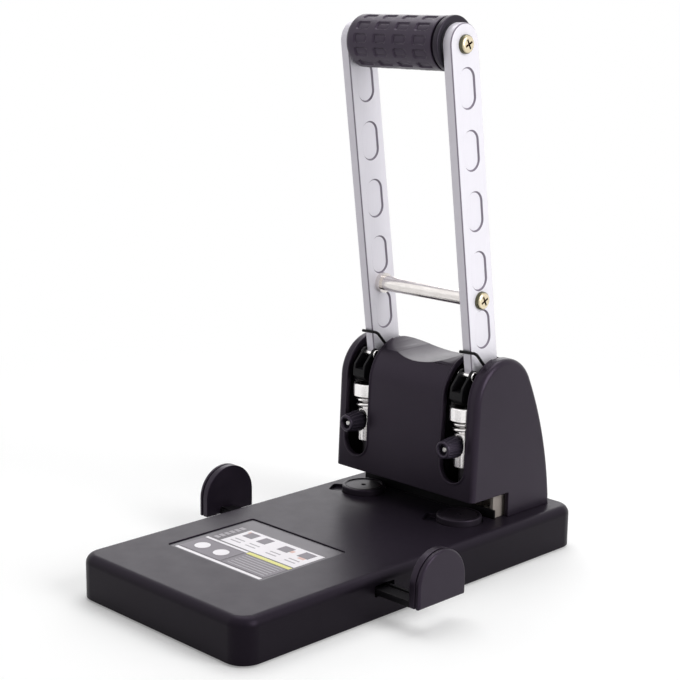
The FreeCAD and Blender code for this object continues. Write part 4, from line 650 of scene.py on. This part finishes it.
def makeGripTree():
    tree, given = shapeTree("gripCells", [
        ("Tile", "Object", None), ("Columns", "Int", 4), ("Rows", "Int", 12), ("Pitch Along", "Float", 15.0),
        ("Pitch Around", "Float", 8.0), ("First", "Float", 0.0), ("Radius", "Float", 15.5),
        ("Material", "Material", None)])
    gapsAlong = calculate(tree, "SUBTRACT", given["Columns"], 1.0)
    gapsAround = calculate(tree, "SUBTRACT", given["Rows"], 1.0)
    long = calculate(tree, "MULTIPLY", given["Pitch Along"], gapsAlong)
    grid = step(tree, "GeometryNodeMeshGrid", "Mesh", {
        "Vertices X": given["Columns"], "Vertices Y": given["Rows"], "Size X": long,
        "Size Y": calculate(tree, "MULTIPLY", given["Pitch Around"], gapsAround)})
    tile = step(tree, "GeometryNodeObjectInfo", "Geometry", {"Object": given["Tile"]})
    cells = step(tree, "GeometryNodeInstanceOnPoints", "Instances", {"Points": grid, "Instance": tile})
    real = step(tree, "GeometryNodeRealizeInstances", "Geometry", {"Geometry": cells})
    # the flat field is wrapped round the sleeve
    flat = split(tree, step(tree, "GeometryNodeInputPosition", "Position", {}))
    turn = calculate(tree, "DIVIDE", flat["Y"], given["Radius"])
    reach = calculate(tree, "ADD", flat["Z"], given["Radius"])
    middle = calculate(tree, "ADD", flat["X"], calculate(tree, "DIVIDE", long, 2.0))
    wrapped = step(tree, "ShaderNodeCombineXYZ", "Vector", {
        "X": calculate(tree, "ADD", middle, given["First"]),
        "Y": calculate(tree, "MULTIPLY", reach, calculate(tree, "SINE", turn)),
        "Z": calculate(tree, "MULTIPLY", reach, calculate(tree, "COSINE", turn))})
    bent = step(tree, "GeometryNodeSetPosition", "Geometry", {"Geometry": real, "Position": wrapped})
    merged = step(tree, "GeometryNodeMergeByDistance", "Geometry",
                  {"Geometry": bent, "Distance": grip["cellWeld"]})
    smooth = step(tree, "GeometryNodeSetShadeSmooth", "Geometry", {"Geometry": merged})
    return shapeDone(tree, smooth, given["Material"])


def makeGripSleeve():
    tile = makeCellTile()
    cells = linkPiece("gripCellsDraft", bpy.data.meshes.new("gripCellsDraft"))
    start = grip["cellsFrom"]
    runTree(cells, makeGripTree(), {
        "Tile": tile, "Columns": grip["columns"], "Rows": grip["rows"], "Pitch Along": grip["cellPitch"],
        "Pitch Around": pitchAround, "First": start + grip["cellPitch"] / 2, "Radius": grip["radius"],
        "Material": materials["grip_rubber"]})
    bm = bmesh.new()
    bm.from_mesh(cells.data)
    bpy.data.objects.remove(cells)
    bpy.data.objects.remove(tile)
    outer, bore, bend, edge, lip = (grip[word] for word in ("radius", "bore", "endRound", "boreEdge", "lip"))
    left = [(start, outer)]
    for n in range(grip["roundSteps"] + 1):
        angle = pi / 2 * n / grip["roundSteps"]
        left.append((grip["left"] + bend - bend * sin(angle), outer - bend + bend * cos(angle)))
    left += [(grip["left"], bore + edge), (grip["left"] + edge, bore)]
    groove = grip["right"] - grip["neck"]
    inner = outer - grip["neckDeep"]
    end = start + grip["columns"] * grip["cellPitch"]
    right = [(end, outer), (groove - lip, outer), (groove, outer - lip), (groove, inner),
             (grip["right"], inner), (grip["right"], bore)]
    # the cells fill the stretch between the two halves of the profile
    addRings(bm, left[::-1] + right, grip["rows"] * grip["tileAround"],
             lambda along, out, angle: (along, out * sin(angle), out * cos(angle)), gap=len(left) - 1)
    bmesh.ops.remove_doubles(bm, verts=bm.verts, dist=grip["weld"])
    for vert in bm.verts:
        vert.co = handlePlace(vert.co)
    stand(pieceFrom(bm, "gripSleeve", grip["sharpest"]), "grip_sleeve")


makeGripSleeve()
print("grip sleeve ready")


# clamp knobs: turned core with ribs set round it

knob = {"centreX": 40.0, "front": 44.4, "length": 12.0, "level": 73.4, "faceRadius": 4.75, "backRadius": 6.3,
        "backEdge": 0.5, "bore": 1.66, "boreEdge": 0.4, "recessRadius": 3.2, "recessDeep": 3.3,
        "recessTaper": 0.1, "segments": 64, "sharpest": 50,
        "rim": [(1.3, 0.05), (1.0, 0.5), (0.45, 0.5), (0.1, 0.15), (0.0, -0.3)],   # out from the face's radius
        "mouth": [(0.0, 0.45), (0.3, 0.1), (0.6, 0.0)],   # out from the recess's radius
        "ribs": 16, "ribRadius": 0.58, "ribReach": 4.72, "ribStart": 1.3, "ribLength": 10.3, "ribSides": 10,
        "ribSteps": 6, "ribTaperFrom": 0.7, "ribTip": 0.72}


def makeRibTree():
    tree, given = shapeTree("knobRibs", [
        ("Ribs", "Int", 16), ("Reach", "Float", 5.3), ("Rib Radius", "Float", 0.6),
        ("Rib Length", "Float", 10.0), ("Lean", "Float", 0.05), ("Material", "Material", None)])
    ring = step(tree, "GeometryNodeMeshCircle", "Mesh", {"Vertices": given["Ribs"], "Radius": given["Reach"]})
    bar = step(tree, "GeometryNodeMeshCylinder", "Mesh", {
        "Vertices": knob["ribSides"], "Side Segments": knob["ribSteps"], "Fill Segments": 1,
        "Radius": given["Rib Radius"], "Depth": given["Rib Length"]})
    # the ends of a rib draw in
    parts = split(tree, step(tree, "GeometryNodeInputPosition", "Position", {}))
    half = calculate(tree, "MULTIPLY", given["Rib Length"], 0.5)
    share = calculate(tree, "ABSOLUTE", calculate(tree, "DIVIDE", parts["Z"], half))
    draw = spread(tree, share, knob["ribTaperFrom"], 1.0, low=1.0, high=knob["ribTip"])
    slim = step(tree, "ShaderNodeCombineXYZ", "Vector", {
        "X": calculate(tree, "MULTIPLY", parts["X"], draw), "Y": calculate(tree, "MULTIPLY", parts["Y"], draw),
        "Z": parts["Z"]})
    rib = step(tree, "GeometryNodeSetPosition", "Geometry", {"Geometry": bar, "Position": slim})
    # each one turns to its own place on the ring and leans with the core
    spot = split(tree, step(tree, "GeometryNodeInputPosition", "Position", {}))
    around = calculate(tree, "ARCTAN2", spot["Y"], spot["X"])
    facing = step(tree, "ShaderNodeCombineXYZ", "Vector", {"X": 0.0, "Y": given["Lean"], "Z": around})
    copies = step(tree, "GeometryNodeInstanceOnPoints", "Instances",
                  {"Points": ring, "Instance": rib, "Rotation": facing})
    real = step(tree, "GeometryNodeRealizeInstances", "Geometry", {"Geometry": copies})
    return shapeDone(tree, real, given["Material"])


ribTree = makeRibTree()


def makeKnob(side):
    lean = atan2(knob["backRadius"] - knob["faceRadius"], knob["length"])
    middle = knob["ribStart"] + knob["ribLength"] / 2
    ribs = linkPiece("knobRibsDraft", bpy.data.meshes.new("knobRibsDraft"))
    runTree(ribs, ribTree, {
        "Ribs": knob["ribs"], "Reach": knob["ribReach"] + middle * tan(lean), "Rib Radius": knob["ribRadius"],
        "Rib Length": knob["ribLength"], "Lean": lean, "Material": materials["knob_plastic"]})
    axisPoint = Vector((sides[side] * knob["centreX"], knob["front"], knob["level"])) * mm
    back, bore, edge = knob["length"], knob["bore"], knob["backEdge"]
    profile = [(back - knob["boreEdge"], bore), (back, bore + knob["boreEdge"]),
               (back, knob["backRadius"] - edge), (back - edge, knob["backRadius"])]
    profile += [(along, knob["faceRadius"] + out) for along, out in knob["rim"]]
    profile += [(along, knob["recessRadius"] + out) for along, out in knob["mouth"]]
    profile += [(knob["recessDeep"], knob["recessRadius"] - knob["recessTaper"]), (knob["recessDeep"], bore)]
    bm = bmesh.new()
    addRings(bm, profile, knob["segments"], lambda along, out, angle:
             axisPoint + Vector((out * cos(angle), along, -out * sin(angle))) * mm)
    layDown = Matrix.Rotation(radians(-90), 4, "X")
    place = Matrix.Translation(axisPoint + Vector((0, middle * mm, 0))) @ layDown @ Matrix.Scale(mm, 4)
    ribs.data.transform(place)
    bm.from_mesh(ribs.data)
    bpy.data.objects.remove(ribs)
    stand(pieceFrom(bm, "clampKnob_" + side, knob["sharpest"]), "clamp_knob_" + side)


for side in sides:
    makeKnob(side)
print("clamp knobs ready")


# softened copies of the moulded and pressed parts: width of the edge, and the angle from which an edge gets it

softEdges = {
    "base_shell": (0.35, 34), "housing_shell": (0.45, 40), "side_stop_left": (0.3, 30),
    "side_stop_right": (0.3, 30), "handle_arm_left": (0.2, 30), "handle_arm_right": (0.2, 30),
    "paper_stop": (0.2, 30), "guide_plate": (0.3, 40), "gauge_bar_left": (0.15, 50),
    "gauge_bar_right": (0.15, 50), "cutting_disc_left": (0.6, 60), "cutting_disc_right": (0.6, 60),
}
softening = {"weld": 0.002, "flatWithin": 0.4, "segments": 2, "faceWeight": 60}


def softenedCopy(nodeName, pieceName, edgeWidth, sharpest):
    mesh = nodes[nodeName].data.copy()
    mesh.name = pieceName
    bm = bmesh.new()
    bm.from_mesh(mesh)
    bmesh.ops.remove_doubles(bm, verts=bm.verts, dist=softening["weld"] * mm)
    bmesh.ops.dissolve_limit(bm, angle_limit=radians(softening["flatWithin"]), verts=bm.verts, edges=bm.edges)
    bm.to_mesh(mesh)
    bm.free()
    ownNormals = mesh.attributes.get("custom_normal")
    if ownNormals:
        mesh.attributes.remove(ownNormals)
    mesh.polygons.foreach_set("use_smooth", [True] * len(mesh.polygons))
    piece = linkPiece(pieceName, mesh)
    addModifier(piece, "BEVEL", {
        "width": edgeWidth * mm, "segments": softening["segments"], "limit_method": "ANGLE",
        "angle_limit": radians(sharpest), "use_clamp_overlap": False, "miter_outer": "MITER_ARC",
        "loop_slide": True})
    addModifier(piece, "WEIGHTED_NORMAL", {"keep_sharp": True, "weight": softening["faceWeight"]})
    finishedMesh(piece)
    stand(piece, nodeName)


for nodeName, (edgeWidth, sharpest) in softEdges.items():
    first, *others = nodeName.split("_")
    softenedCopy(nodeName, first + "".join(word.capitalize() for word in others), edgeWidth, sharpest)
print("softened copies ready:", len(softEdges))


# label print: plain blocks of colour on the card, in layers that clear one another

label = {"level": 26.0, "thick": 0.06, "layers": {"low": 1.0, "middle": 1.5, "high": 2.0},
         "white": [(-41.5, -90.7, 30.0, -88.4), (-41.5, -68.3, -5.5, -66.3), (-32.0, -65.0, 30.0, -41.2)],
         "darkGrey": [(-4.9, -87.4, 30.0, -70.2), (-41.5, -87.4, -6.4, -69.2), (-28.5, -51.5, -20.5, -43.6),
                      (-16.0, -52.0, -8.5, -43.6), (1.5, -52.0, 10.0, -44.4), (17.0, -51.0, 26.0, -43.0)],
         "yellow": [(-4.9, -69.2, 30.0, -66.2)],
         "warm": [(-29.8, -46.0, -28.5, -43.6), (10.0, -50.0, 12.6, -47.0), (20.0, -53.4, 25.0, -51.0)],
         "discs": [(-32.0, -78.3, 4.7), (-15.8, -78.3, 4.7)], "discSides": 48,
         "titleBlocks": {"count": 6, "left": -39.6, "wide": 4.2, "from": -64.0, "pitch": 3.9, "long": 2.9},
         "captionBars": {"columns": (-28.5, -16.0, 1.5, 17.0), "rows": (-57.2, -60.6), "wide": 8.5,
                         "high": 1.1},
         "textBars": {"count": 6, "left": -2.6, "right": 27.6, "from": -85.4, "pitch": 2.7, "high": 1.0}}

inkTones = {"white": ((0.74, 0.72, 0.74), (0.70, 0.68, 0.70)),
            "paleGrey": ((0.26, 0.25, 0.26), (0.24, 0.23, 0.24)),
            "darkGrey": ((0.060, 0.054, 0.062), (0.075, 0.068, 0.077)),
            "yellow": ((0.66, 0.64, 0.10), (0.60, 0.58, 0.09)),
            "warm": ((0.62, 0.38, 0.30), (0.55, 0.33, 0.26)),
            "midGrey": ((0.20, 0.195, 0.20), (0.24, 0.235, 0.24))}
inks = list(inkTones)


def printInk(ink):
    return plastic("label" + ink[0].upper() + ink[1:] + "Ink", *inkTones[ink], roughness=0.34, grains=5200.0,
                   bump=0.05, specular=0.4, unevenness=0.03)


def makeLabelPrint():
    bm = bmesh.new()

    def addPlate(outline, ink, layer):
        low = label["level"]
        high = low + label["thick"] * label["layers"][layer]
        floor = [bm.verts.new(Vector((x, y, low)) * mm) for x, y in outline]
        roof = [bm.verts.new(Vector((x, y, high)) * mm) for x, y in outline]
        faces = [bm.faces.new(list(reversed(floor))), bm.faces.new(roof)]
        for n in range(len(outline)):
            m = (n + 1) % len(outline)
            faces.append(bm.faces.new((floor[n], floor[m], roof[m], roof[n])))
        for face in faces:
            face.material_index = inks.index(ink)

    def addBlock(x0, y0, x1, y1, ink, layer):
        addPlate([(x0, y0), (x1, y0), (x1, y1), (x0, y1)], ink, layer)

    for ink, layer in (("white", "low"), ("darkGrey", "middle"), ("yellow", "middle"), ("warm", "middle")):
        for block in label[ink]:
            addBlock(*block, ink, layer)
    title = label["titleBlocks"]
    for n in range(title["count"]):
        y = title["from"] + n * title["pitch"]
        addBlock(title["left"], y, title["left"] + title["wide"], y + title["long"], "paleGrey", "low")
    captions = label["captionBars"]
    for x in captions["columns"]:
        for y in captions["rows"]:
            addBlock(x, y, x + captions["wide"], y + captions["high"], "paleGrey", "middle")
    lines = label["textBars"]
    for n in range(lines["count"]):
        y = lines["from"] + n * lines["pitch"]
        addBlock(lines["left"], y, lines["right"], y + lines["high"], "midGrey", "high")
    turns = [2 * pi * n / label["discSides"] for n in range(label["discSides"])]
    for x, y, radius in label["discs"]:
        addPlate([(x + radius * cos(turn), y + radius * sin(turn)) for turn in turns], "white", "high")
    mesh = bpy.data.meshes.new("labelPrint")
    bm.to_mesh(mesh)
    bm.free()
    for ink in inks:
        mesh.materials.append(printInk(ink))
    piece = linkPiece("labelPrint", mesh)
    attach(piece, "base")


makeLabelPrint()
print("label print ready")
